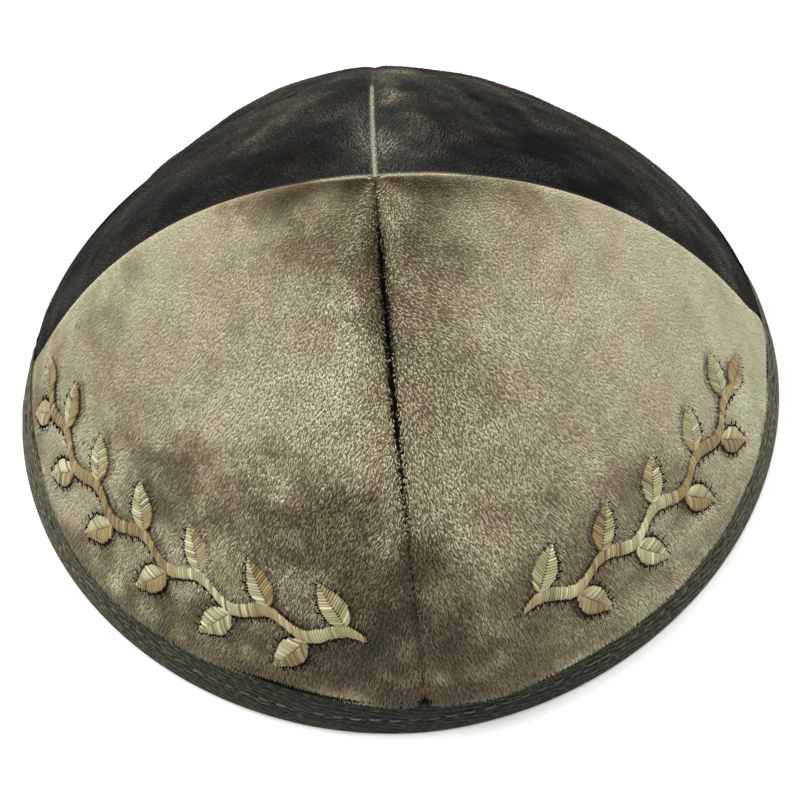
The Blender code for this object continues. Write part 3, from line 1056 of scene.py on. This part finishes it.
def tuft_corners(gore, tufts, shade, alive, rng):
    """Each tuft as a slim wedge, from a three-cornered root on the ground to a point. The nap runs one
    way all over a gore, as it does in the flat cut, so near a seam it leans away from the seam or along
    it; brushed patches stand up and slow waves turn it a little."""
    sizes = bpy.context.scene.kippah_velvet
    root, count = tufts.root, len(tufts.root)
    normal = unit(tufts.normal)
    falling = unit(tufts.falling - normal * np.sum(tufts.falling * normal, axis=-1, keepdims=True))
    side = np.cross(normal, falling)
    turn = -np.radians(turned_by(tufts.around, gore.nap_deg)) * (1 - 0.4 * tufts.up_share)
    turn += 0.13 * waves(root, 26 * MM, SEED + 2) + rng.normal(0, 0.32, count) * (alive + 1.3 * tufts.astray)
    lean = sizes.lean * (1 + rng.normal(0, 0.25, count)) - 0.3 * shade
    lean = np.clip(lean + 0.7 * tufts.uphill, LEAST_LEAN, MOST_LEAN)
    near = np.minimum(tufts.to_first, tufts.to_second)
    length = sizes.tuft_length * rng.uniform(0.75, 1.25, count)
    length *= np.maximum(0.5 + 0.5 * np.clip(near / (1.4 * MM), 0, 1), 0.9 * (tufts.astray > 0.2))
    length *= 1 - 0.9 * (gore.coarse - 1)
    width = sizes.tuft_width * gore.coarse * rng.uniform(0.75, 1.25, count)
    ahead = falling * np.cos(turn)[:, None] + side * np.sin(turn)[:, None]
    reach = ahead * np.cos(lean)[:, None] + normal * np.sin(lean)[:, None]
    tip = root + reach * length[:, None]
    half = np.cross(ahead, normal) * (width / 2)[:, None]
    ridge = root + normal * ((0.2 + 0.2 * alive) * width)[:, None] + ahead * (0.25 * length)[:, None]
    low = root - normal * ROOT_SUNK
    return np.stack([low - half, low + half, ridge, tip], axis=1)


def grow_pile(index, finish):
    """The pile of one gore: where each tuft stands, how light the nap makes it, and its shape."""
    gore, sizes = GORES[index], bpy.context.scene.kippah_velvet
    rng = np.random.default_rng(SEED + 10 + index)
    tufts = root_tufts(index, rng)
    root, around, from_rim = tufts.root, tufts.around, tufts.from_rim
    alive = liveliness(gore, around, from_rim)
    shade = brushed_and_painted_nap(index, root, around, from_rim)
    # Folds get painted light on their ridges and painted shade in their hollows.
    shade += sizes.fold_painted_shading * folds(index, root) / MM
    mottle = gore.cloud * (waves(root, 14 * MM, SEED + 3) + 0.7 * waves(root, 5 * MM, SEED + 4))
    # Pile round the strokes, most of all just above them, gets a painted highlight.
    stroke_painted_highlight = 0.08 * bell(tufts.off, 1.6 * MM) + 0.16 * tufts.uphill
    # Pile beside the side and back seams is lighter: partly the cloth's turned edge and partly a painted
    # highlight along the seam's ridge.
    pale = np.maximum(beside_seams(index, from_rim, tufts.to_first, tufts.to_second, PILE_REACH), 0)
    shape = tuft_corners(gore, tufts, shade, alive, rng)
    nap = gore.nap + shade + mottle + stroke_painted_highlight + pale
    nap = np.clip(nap * (1 - 0.92 * np.clip(tufts.shadow, 0, 1)), 0.03, 1.0)
    # Where the patches darken it, partly brushed up and partly in painted shade, the pile shows more of its
    # tufts' sides, and they differ more.
    alive = np.clip(alive * (0.8 + 2.2 * np.clip(-shade, 0, 0.6)), 0, 1)
    lot = 0.5 + rng.uniform(-0.5, 0.5, len(root)) * alive
    # depth is how much painted shade darkens each tuft's root.
    depth = 0.12 + 0.88 * alive
    for name, shown in zip(PILE_PARTS, (tufts.up_share < PILE_SPLIT, tufts.up_share >= PILE_SPLIT)):
        lay_tufts(f"pile_{gore.name}_{name}", gore, shape[shown], nap[shown], lot[shown],
                  depth[shown], finish)


def lay_tufts(name, gore, shape, nap, lot, depth, finish):
    """A piece of pile from the four corners of each tuft. depth is how much painted shade darkens its root.
    """
    count = len(shape)
    corners = np.array([[0, 2, 3], [1, 3, 2], [0, 3, 1], [0, 1, 2]])
    faces = (np.arange(count)[:, None, None] * 4 + corners).reshape(-1, 3)
    piece = build(name, shape.reshape(-1, 3), faces)
    rise = 1 - depth[:, None] * np.array([1.0, 1.0, 0.55, 0.0])
    give_values(piece, nap=np.repeat(nap, 4), lot=np.repeat(lot, 4), rise=rise)
    cell = [(0.1, 0.1), (0.9, 0.1), (0.5, 0.45), (0.5, 0.9)]
    give_map(piece, "OFBake", bake_cells(count, cell).reshape(-1, 2))
    hand_over(piece, finish, gore.slot)


class KIPPAH_OT_binding(Operator):
    """Make the folded twill binding round the rim"""

    bl_idname = "kippah.binding"
    bl_label = "Twill binding"

    def execute(self, context):
        make_binding(binding_material())
        return {"FINISHED"}


def binding_material():
    """Cotton twill tape, woven and dyed dark olive. Its rows of floats run almost along the tape and are
    parted by short dark dashes where the weft dives. The dye drifts a little in hue, and painted light makes
    the tape lighter and taupe at the sides of the cap. The rows are 1.3 mm apart."""
    material, tree = new_material("cotton_twill_tape_olive")
    maths = functools.partial(work_out, tree)
    tape = add(tree, "ShaderNodeUVMap", uv_map="tape").outputs["UV"]
    along, across, _ = add(tree, "ShaderNodeSeparateXYZ", {"Vector": tape}).outputs
    drift = noise(tree, on_object(tree), 8 * MM, 3.0)
    # Rows are counted across the tape, and slope by one row in 7 mm of tape.
    row = maths("MULTIPLY_ADD", across, 1 / (1.3 * MM), maths("MULTIPLY", along, 1 / (7 * MM)))
    row = maths("MULTIPLY_ADD", drift, 1.1, row)
    from_middle = maths("ABSOLUTE", maths("SUBTRACT", maths("FRACT", row), 0.5))

    def floats(other_way, detail):
        """Noise that changes over 1.5 mm along the tape, and with a count of its own the other way."""
        stretched = {"X": maths("MULTIPLY", along, 1 / (1.5 * MM)), "Y": other_way}
        return noise(tree, add(tree, "ShaderNodeCombineXYZ", stretched).outputs["Vector"], 1.0, detail)

    dash = floats(maths("MULTIPLY", maths("FLOOR", maths("ADD", row, 0.5)), 5.17), 1.0)
    dark = maths("MULTIPLY", stretch(tree, from_middle, 0.22, 0.44), stretch(tree, dash, 0.40, 0.54))
    yarn = floats(maths("MULTIPLY", across, 1 / (0.38 * MM)), 2.0)
    tone = maths("MULTIPLY_ADD", dark, -0.55, maths("MULTIPLY_ADD", yarn, 1.8, -0.32))
    fresh = ramp(tree, tone, ((0.0, "#040403"), (0.4, "#0d0f0a"), (0.66, "#1b1d14"), (0.9, "#44473a")))
    # The second ramp is painted light: the tape lighter and taupe at the sides of the cap.
    lit_side_ramp = ramp(tree, tone, ((0.0, "#19170f"), (0.4, "#393627"), (0.66, "#575240"), (0.9, "#867f69")))
    hue = ramp(tree, drift, ((0.42, "#f8fff3"), (0.6, "#fff5ea")))
    colour = mix(tree, 1.0, mix(tree, read(tree, "paler"), fresh, lit_side_ramp), hue, "MULTIPLY")
    weave = bump(tree, maths("SUBTRACT", maths("MULTIPLY", yarn, 0.5), dark), 0.9, 0.22 * MM)
    return coat(material, Base_Color=colour, Normal=weave, Roughness=0.85, Specular_IOR_Level=0.2,
                Sheen_Weight=0.08, Sheen_Roughness=0.5, Sheen_Tint=from_hex("#9a9580"))


def tape_outline():
    """The folded tape's outline once round, as (distance from the rim, depth). It is two legs whose
    free edges and whose fold are round: half circles a tape's thickness across, and a flat fold."""
    grip = CLOTH_WALL + CLEARANCE
    inside = grip + TAPE
    half = TAPE / 2
    turn = np.linspace(0, math.pi, 7)
    corner = np.linspace(0, math.pi / 2, 5)
    sine, cosine = FOLD_ROUND * np.sin(corner), FOLD_ROUND * np.cos(corner)

    def leg(start, end, count, depth):
        return join(np.linspace(start, end, count), depth)

    def edge(reach, depth):
        return join(reach - half + half * np.sin(turn), depth + half - half * np.cos(turn))[1:-1]

    return np.vstack([
        leg(FOLD_ROUND, TAPE_OUTSIDE - half, 16, 0.0),
        edge(TAPE_OUTSIDE, 0.0),
        leg(TAPE_OUTSIDE - half, TAPE, 8, TAPE),
        leg(TAPE, TAPE_INSIDE - half, 8, grip),
        edge(TAPE_INSIDE, grip),
        leg(TAPE_INSIDE - half, FOLD_ROUND, 10, inside),
        join(FOLD_ROUND - sine, inside - FOLD_ROUND + cosine)[1:],
        join(FOLD_ROUND - cosine, FOLD_ROUND - sine)[:-1],
    ])


def make_binding(finish):
    """The tape's outline carried once round the rim, its outer leg lying in slight waves and its upper
    edge a little uneven."""
    section = tape_outline()
    turns = np.arange(TAPE_TURNS) / TAPE_TURNS * math.tau
    around = np.broadcast_to(turns, (len(section), TAPE_TURNS))
    rim_line = place(0.0, turns)[0]
    from_rim = section[:, :1] * np.ones(TAPE_TURNS)
    uneven = 0.14 * MM * waves(rim_line, 9 * MM, SEED + 20)
    from_rim = from_rim + uneven * np.clip(section[:, :1] / TAPE_OUTSIDE, 0, 1) ** 3
    points, _, out, _ = place(from_rim, around)
    depth = section[:, 1:] * np.ones(TAPE_TURNS)
    on_outside = (section[:, 1:] < TAPE / 2) & (section[:, :1] > 1.5 * MM)
    ripple = 0.10 * MM * waves(points, 13 * MM, SEED + 21)
    # The running stitches draw the leg in along their line.
    stitches = bpy.context.scene.kippah_stitches
    drawn = 0.22 * MM * bell(from_rim - stitches.run_rise, 1.1 * MM)
    depth = depth + np.where(on_outside, drawn - ripple, 0)
    shape = sink(points, out, from_rim, depth)
    rows = len(section)
    quads = grid_quads(rows, TAPE_TURNS, wrap=True)
    piece = build("binding_tape", shape.reshape(-1, 3), quads)
    piece.data.shade_smooth()
    # Each corner's place on the flat tape: metres along it and across it.
    width = from_start(closed(section))
    length = from_start(closed(rim_line))
    r, c = np.indices((rows, TAPE_TURNS)).reshape(2, -1)
    tape = join(length[join(c, c, c + 1, c + 1)], width[join(r, r + 1, r + 1, r)])
    give_map(piece, "tape", tape.reshape(-1, 2))
    # Painted light: the tape grows lighter towards the sides of the cap.
    give_values(piece, paler=np.abs(np.cos(around)) ** 1.9)
    hand_over(piece, finish, "twill_binding", "rim_binding")


def tubes(name, centres, up, radius, sides):
    """A closed thread along each row of centres. Its ends are points and each centre between them has a
    ring of sides round it, square to the thread, whose top points up."""
    count, places = centres.shape[:2]
    way = unit(centres[:, 2:] - centres[:, :-2])
    across = unit(np.cross(way, up[:, 1:-1]))
    lifted = np.cross(across, way)
    turn = np.arange(sides) / sides * math.tau
    ring = across[:, :, None] * np.cos(turn)[:, None] + lifted[:, :, None] * np.sin(turn)[:, None]
    rings = centres[:, 1:-1, None] + ring * radius[:, :, None, None]
    points = np.concatenate([centres[:, :1], rings.reshape(count, -1, 3), centres[:, -1:]], axis=1)
    number = 1 + np.arange((places - 2) * sides).reshape(places - 2, sides)
    beside = np.roll(number, -1, axis=1)
    quads = join(number[:-1], beside[:-1], beside[1:], number[1:]).reshape(-1, 4)
    start = join(0, beside[0], number[0])
    end = join(number[-1], beside[-1], points.shape[1] - 1)
    first = np.arange(count)[:, None, None] * points.shape[1]
    piece = build(name, points.reshape(-1, 3), (quads + first).reshape(-1, 4),
                  (np.concatenate([start, end]) + first).reshape(-1, 3))
    piece.data.shade_smooth()
    return piece, points.shape[1]


class KIPPAH_OT_running_stitch(Operator):
    """Sew the running stitches that hold the binding"""

    bl_idname = "kippah.running_stitch"
    bl_label = "Running stitches"

    def execute(self, context):
        rise = context.scene.kippah_stitches.run_rise
        inside = CLOTH_WALL + CLEARANCE + TAPE
        finish = thread_material("polyester_sewing_thread_olive", SEWING_LOTS, SEWING_LOTS, 0.5)
        running_stitches("stitches_outside", finish, rise, 0.16 * MM, 1)
        running_stitches("stitches_inside", finish, rise - 0.6 * MM, inside, -1)
        return {"FINISHED"}


def running_stitches(name, finish, rise, depth, outward):
    """Running stitches at one height round the rim: each dips into the tape at its ends and stands
    proud of it between them."""
    sizes = bpy.context.scene.kippah_stitches
    turns = np.linspace(0, math.tau, RIM_STEPS, endpoint=False)
    line = place(rise, turns)[0]
    length = from_start(closed(line))
    count = int(length[-1] / sizes.run_pitch)
    rng = np.random.default_rng(SEED + 30)
    start = (np.arange(count) + rng.uniform(-0.06, 0.06, count)) * length[-1] / count
    share = np.array([0, 0.14, 0.5, 0.86, 1.0])
    along = start[:, None] + share * sizes.run_length
    around = np.interp(along, length, np.append(turns, math.tau))
    wander = rng.normal(0, 0.12 * MM, (count, 1)) + rng.normal(0, 0.1 * MM, (count, 1)) * (share - 0.5)
    from_rim = rise + wander
    points, _, out, _ = place(from_rim, around)
    proud = np.array([-0.14, 0.05, 0.13, 0.05, -0.14]) * MM
    centres = sink(points, out, from_rim, depth - outward * proud)
    radius = np.full((count, 3), sizes.thread * 0.34)
    piece, per = tubes(name, centres, out * outward, radius, 6)
    give_values(piece, tone=np.full(count * per, 0.5), lot=np.repeat(rng.uniform(0, 1, count), per))
    hand_over(piece, finish, "twill_binding")


def thread_material(name, upright, level, roughness):
    """Twisted filament thread, dyed: silky along its length, and every thread a little different. By the
    tone that each stitch carries, one thread is painted two ways: golden and darker, a painted shade, where
    it runs up and down the crown, and cream, a painted sheen, where it runs level."""
    material, tree = new_material(name)
    lot = read(tree, "lot")
    colour = mix(tree, read(tree, "tone"), ramp(tree, lot, level), ramp(tree, lot, upright))
    twist = bump(tree, noise(tree, on_object(tree), 0.2 * MM, 1.0), 0.25, 0.05 * MM)
    return coat(material, Base_Color=colour, Normal=twist, Roughness=roughness, Specular_IOR_Level=0.38,
                Sheen_Weight=0.1)


# One thread's colours: the first ramp is its painted shade, for stitches up and down the crown, and the
# second its painted sheen, for level ones
THREAD_PAINTED_SHADE_LOTS = ((0.0, "#524429"), (0.3, "#78643d"), (0.55, "#8e794b"), (0.75, "#857c4e"), (1.0, "#ae9d6e"))
THREAD_PAINTED_SHEEN_LOTS = ((0.0, "#6c6744"), (0.35, "#938d65"), (0.7, "#a8a37c"), (1.0, "#cdc8a6"))
SEWING_LOTS = ((0.0, "#2a2c22"), (1.0, "#4e5044"))


class KIPPAH_OT_borders(Operator):
    """Stitch the two leafy borders on the front gores"""

    bl_idname = "kippah.borders"
    bl_label = "Embroidered borders"

    def execute(self, context):
        finish = thread_material("rayon_satin_stitch_cream_and_gold", THREAD_PAINTED_SHADE_LOTS, THREAD_PAINTED_SHEEN_LOTS, 0.42)
        shadow = shadow_material()
        for border in BORDERS:
            starts, ends = stitch_border(border, finish)
            stitch_shadow_ticks(border, starts, ends, shadow)
        return {"FINISHED"}


def leaf_stitches(leaf, sizes, rng):
    """A leaf's satin stitches as flat starts and ends: for each half, from the midrib slanting forward to
    the edge. The slant closes up towards the tip."""
    count = int(LEAF_LENGTH / sizes.spacing)
    edge_share = np.linspace(0.07, 0.985, count)
    back = sizes.slant / LEAF_LENGTH * (1 - edge_share) ** 0.35
    rib_share = np.clip(edge_share - back, 0, 1)
    starts, ends = [], []
    for side in (-1, 1):
        jitter = rng.normal(0, 0.1 * MM, count)
        width = leaf_swell(edge_share) + 0.25 * MM + jitter
        rib = leaf.base + leaf.axis * (rib_share * LEAF_LENGTH)[:, None]
        starts.append(rib - side * leaf.square * (0.12 * MM))
        ends.append(leaf.base + leaf.axis * (edge_share * LEAF_LENGTH)[:, None]
                    + side * leaf.square * width[:, None])
    return np.vstack(starts), np.vstack(ends)


def stem_stitches(border, sizes, rng):
    """The stem's satin stitches: across it, leaning forward, from edge to edge."""
    length = int(border_line(border)[1][-1] / LEAF_PITCH) * LEAF_PITCH
    count = int(length / sizes.spacing)
    along = np.linspace(0.3 * MM, length, count)
    taper = np.clip(2 * along / LEAF_PITCH + 0.3, 0, 1)
    half = STEM_WIDTH / 2 * taper + 0.15 * MM + rng.normal(0, 0.08 * MM, count)
    middle = join(along, stem_middle(along))
    way = np.array([0.45, 1.0])
    return middle - way * half[:, None], middle + way * half[:, None]


def over_cloth(border, flat, heights):
    """Flat places on a border at their heights over the pile's tips, and the way out of the cloth."""
    around, from_rim = to_crown(border, flat)
    points, _, out, _ = place(from_rim, around)
    return points + out * heights[..., None], out


def stitch_shadow_ticks(border, starts, ends, shadow):
    """Painted shadow along the strokes' lower edges: thin dark wedges that leave a stitch's outer end and
    dip into the pile, one in three of them long."""
    rng = np.random.default_rng(SEED + 50 + border.gore)
    way = unit(ends - starts)
    tips, ways = np.vstack([ends, starts]), np.vstack([way, -way])
    chosen = beyond_strokes(border, tips + ways * 0.7 * MM) > 0.3 * MM
    chosen &= ways @ DOWNHILL > 0.1
    tips, ways = tips[chosen], ways[chosen]
    count = len(tips)
    reach = np.where(np.arange(count) % 3 == 0, rng.uniform(1.0, 1.6, count), rng.uniform(0.3, 0.6, count))
    reach = reach[:, None, None] * MM
    flat = tips[:, None] + ways[:, None] * reach * np.array([-0.2, 0.1, 0.65, 1.0])[:, None]
    centres, out = over_cloth(border, flat, np.array([0.1, 0.1, 0.04, -0.2]) * MM)
    radius = np.tile(np.array([0.19, 0.15]) * MM, (count, 1))
    piece, _ = tubes("stitch_shadow_ticks_" + border.side, centres, out, radius, 4)
    hand_over(piece, shadow, "velvet_light")


def shadow_material():
    """Painted shadow beside a stitch: a near-black matt surface."""
    material, _ = new_material("painted_shadow_at_stitches")
    return coat(material, Base_Color=from_hex("#0f0b07"), Roughness=0.95, Specular_IOR_Level=0.05)


def stitch_border(border, finish):
    """One border: fishbone satin leaves, and over their feet the stem. A leaf's stitches rise from the
    midrib, crown, and dive into the pile at its edge; the stem's arch from edge to edge."""
    sizes = bpy.context.scene.kippah_stitches
    rng = np.random.default_rng(SEED + 40 + border.gore)
    leaf_profile = np.array([0.35, 0.8, 1.0, 0.8, 0.3, -0.45]) * sizes.crown
    stem_profile = np.array([-0.45, 0.55, 1.05, 1.0, 0.5, -0.45]) * sizes.crown
    starts, ends, heights = [], [], []
    for leaf in leaves_of(border):
        a, b = leaf_stitches(leaf, sizes, rng)
        starts.append(a)
        ends.append(b)
        # Short stitches near the tip and the foot lie lower.
        span = np.clip(norm(b - a) / (0.5 * LEAF_WIDTH), 0.35, 1)
        heights.append(leaf_profile * span[:, None])
    a, b = stem_stitches(border, sizes, rng)
    starts.append(a)
    ends.append(b)
    heights.append(np.tile(stem_profile, (len(a), 1)))
    starts, ends, heights = np.vstack(starts), np.vstack(ends), np.vstack(heights)
    count = len(starts)
    heights = heights + rng.normal(0, 0.04 * MM, (count, 1))
    share = np.array([0, 0.12, 0.4, 0.72, 0.92, 1.0])
    flat = starts[:, None] + (ends - starts)[:, None] * share[:, None]
    centres, out = over_cloth(border, flat, heights)
    radius = np.tile(np.array([0.9, 1.0, 1.0, 0.85]) * sizes.thread / 2, (count, 1))
    piece, per = tubes("stitching_" + border.side, centres, out, radius, 5)
    # The painted golden shade comes and goes along the border, most of it in the stitches that run up and
    # down the crown.
    way = unit(ends - starts)
    spell = np.clip(0.55 + 0.6 * waves(np.pad(starts, ((0, 0), (0, 1))), 17 * MM, SEED + 41), 0, 1)
    tone = np.clip(np.abs(way[:, 1]) ** 2 * spell * 1.3, 0, 1)
    lot = np.clip(rng.normal(0.5, 0.24, count), 0, 1)
    give_values(piece, tone=np.repeat(tone, per), lot=np.repeat(lot, per))
    hand_over(piece, finish, "embroidery_thread", "embroidery_" + border.side)
    return starts, ends


class KIPPAH_OT_stage(Operator):
    """Set the floor, the lights and the camera"""

    bl_idname = "kippah.stage"
    bl_label = "Stage"

    def execute(self, context):
        make_floor()
        make_lights(context.scene)
        make_camera(context.scene)
        return {"FINISHED"}


FLOOR_HALF = 3.0
# The picture's middle, in widths of the picture, and the width of the camera's sensor in millimetres
SHIFT = (-0.00085, -0.04)
SENSOR = 36.0


def make_floor():
    """A wide pale floor at the height that the cap rests on."""
    corners = FLOOR_HALF * np.array([[-1, -1, 0], [1, -1, 0], [1, 1, 0], [-1, 1, 0]])
    floor = build("floor", corners, np.array([[0, 1, 2, 3]]))
    material, _ = new_material("matt_white_paint")
    coat(material, Base_Color=from_hex("#f4f4f2"), Roughness=0.9, Specular_IOR_Level=0.1)
    floor.data.materials.append(material)


Lamp = namedtuple("Lamp", "name place size watts")
LAMPS = (
    Lamp("top", (-0.25, 0.15, 1.4), 1.0, 20.0),
    Lamp("left", (-1.3, -0.1, 0.6), 0.8, 7.0),
    Lamp("right", (1.3, -0.1, 0.6), 0.8, 7.0),
)


def make_lights(scene):
    """Soft panels over the cap, and an even pale surround."""
    for lamp in LAMPS:
        light = bpy.data.lights.new(lamp.name, "AREA")
        light.energy, light.size = lamp.watts, lamp.size
        holder = bpy.data.objects.new(lamp.name, light)
        holder.location = lamp.place
        holder.rotation_euler = Vector(lamp.place).to_track_quat("Z", "Y").to_euler()
        scene.collection.objects.link(holder)
    world = bpy.data.worlds.new("surround")
    world.use_nodes = True
    back = world.node_tree.nodes["Background"]
    back.inputs["Color"].default_value = (1.0, 1.0, 1.0, 1.0)
    back.inputs["Strength"].default_value = 0.5
    scene.world = world
    scene.view_settings.view_transform = "Standard"


def make_camera(scene):
    """The camera, by its elevation, its turn round the cap and its roll, aimed at the middle of the rim
    from a named distance. The shift sets the view's middle as the photograph has it."""
    stage = scene.kippah_stage
    e, t, r = stage.elevation, stage.turn, stage.roll
    back = np.array([-math.cos(e) * math.sin(t), -math.cos(e) * math.cos(t), math.sin(e)])
    right = np.array([math.cos(t), -math.sin(t), 0.0])
    up = np.array([math.sin(t) * math.sin(e), math.cos(t) * math.sin(e), math.cos(e)])
    rolled_right = right * math.cos(r) + up * math.sin(r)
    rolled_up = up * math.cos(r) - right * math.sin(r)
    data = bpy.data.cameras.new("camera")
    data.lens, data.sensor_width = stage.lens, SENSOR
    data.shift_x, data.shift_y = SHIFT
    data.clip_start = 0.01
    camera = bpy.data.objects.new("camera", data)
    turned = Matrix(join(rolled_right, rolled_up, back)).to_4x4()
    camera.matrix_world = Matrix.Translation(Vector(back * stage.distance)) @ turned
    scene.collection.objects.link(camera)
    scene.camera = camera


class KIPPAH_PT_panel(Panel):
    """The sizes, and a button for each group of pieces"""

    bl_label = "Velvet Kippah"
    bl_idname = "KIPPAH_PT_panel"
    bl_space_type = "VIEW_3D"
    bl_region_type = "UI"
    bl_category = "Kippah"

    def draw(self, context):
        scene = context.scene
        for group, operators in PANEL_ROWS:
            box = self.layout.box()
            settings = getattr(scene, group)
            for name in settings.__annotations__:
                box.prop(settings, name)
            for operator in operators:
                box.operator(operator.bl_idname)


PANEL_ROWS = (
    ("kippah_velvet", (KIPPAH_OT_velvet, KIPPAH_OT_pile)),
    ("kippah_stitches", (KIPPAH_OT_binding, KIPPAH_OT_running_stitch, KIPPAH_OT_borders)),
    ("kippah_stage", (KIPPAH_OT_stage,)),
)
GROUPS = {
    "kippah_velvet": VelvetSizes,
    "kippah_stitches": StitchSizes,
    "kippah_stage": StageSettings,
}
CLASSES = (
    *GROUPS.values(),
    KIPPAH_OT_velvet,
    KIPPAH_OT_pile,
    KIPPAH_OT_binding,
    KIPPAH_OT_running_stitch,
    KIPPAH_OT_borders,
    KIPPAH_OT_stage,
    KIPPAH_PT_panel,
)


def register():
    for item in CLASSES:
        bpy.utils.register_class(item)
    for name, group in GROUPS.items():
        setattr(bpy.types.Scene, name, PointerProperty(type=group))


def unregister():
    for name in GROUPS:
        delattr(bpy.types.Scene, name)
    for item in reversed(CLASSES):
        bpy.utils.unregister_class(item)


def check_crown():
    """Raises if the crown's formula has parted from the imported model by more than 1 mm on any side."""
    turns = np.linspace(0, math.tau, 361)
    shape = crown(np.linspace(0, math.pi / 2, 91)[:, None], np.broadcast_to(turns, (91, 361)))
    for ours, theirs in zip((shape.min(axis=(0, 1)), shape.max(axis=(0, 1))), cad_box):
        off = np.abs(ours - np.array(list(theirs)))
        if off.max() > 1.0 * MM:
            raise RuntimeError(f"the crown is {off.max() / MM:.1f} mm off the packed model")


def declare_cloth():
    """Works out, for each gore, the width, length and area it was cut to and the pieces sewn on it, and the
    length round the rim, but says nothing with them. A gore is cut as a petal: its area is summed over the
    crown's face, with the edge that goes into the fold."""
    made = bpy.data.objects
    for index, gore in enumerate(GORES):
        face = gore_cloth(index).face
        width = steps_along(face[-1]).sum()
        length = steps_along(face[:, GORE_COLUMNS // 2]).sum() + TAPE_OUTSIDE
        area = cell_areas(face).sum() + width * TAPE_OUTSIDE
        sewn = [made[f"pile_{gore.name}_{name}"] for name in PILE_PARTS]
        sewn += [made[kind + border.side] for border in borders_on(index)
                 for kind in ("stitching_", "stitch_shadow_ticks_")]
    round_rim = steps_along(place(0.0, np.linspace(0, math.tau, 721))[0]).sum()


def main():
    register()
    check_crown()
    bpy.ops.kippah.velvet()
    bpy.ops.kippah.pile()
    bpy.ops.kippah.binding()
    bpy.ops.kippah.running_stitch()
    bpy.ops.kippah.borders()
    bpy.ops.kippah.stage()
    declare_cloth()


if __name__ == "__main__":
    main()
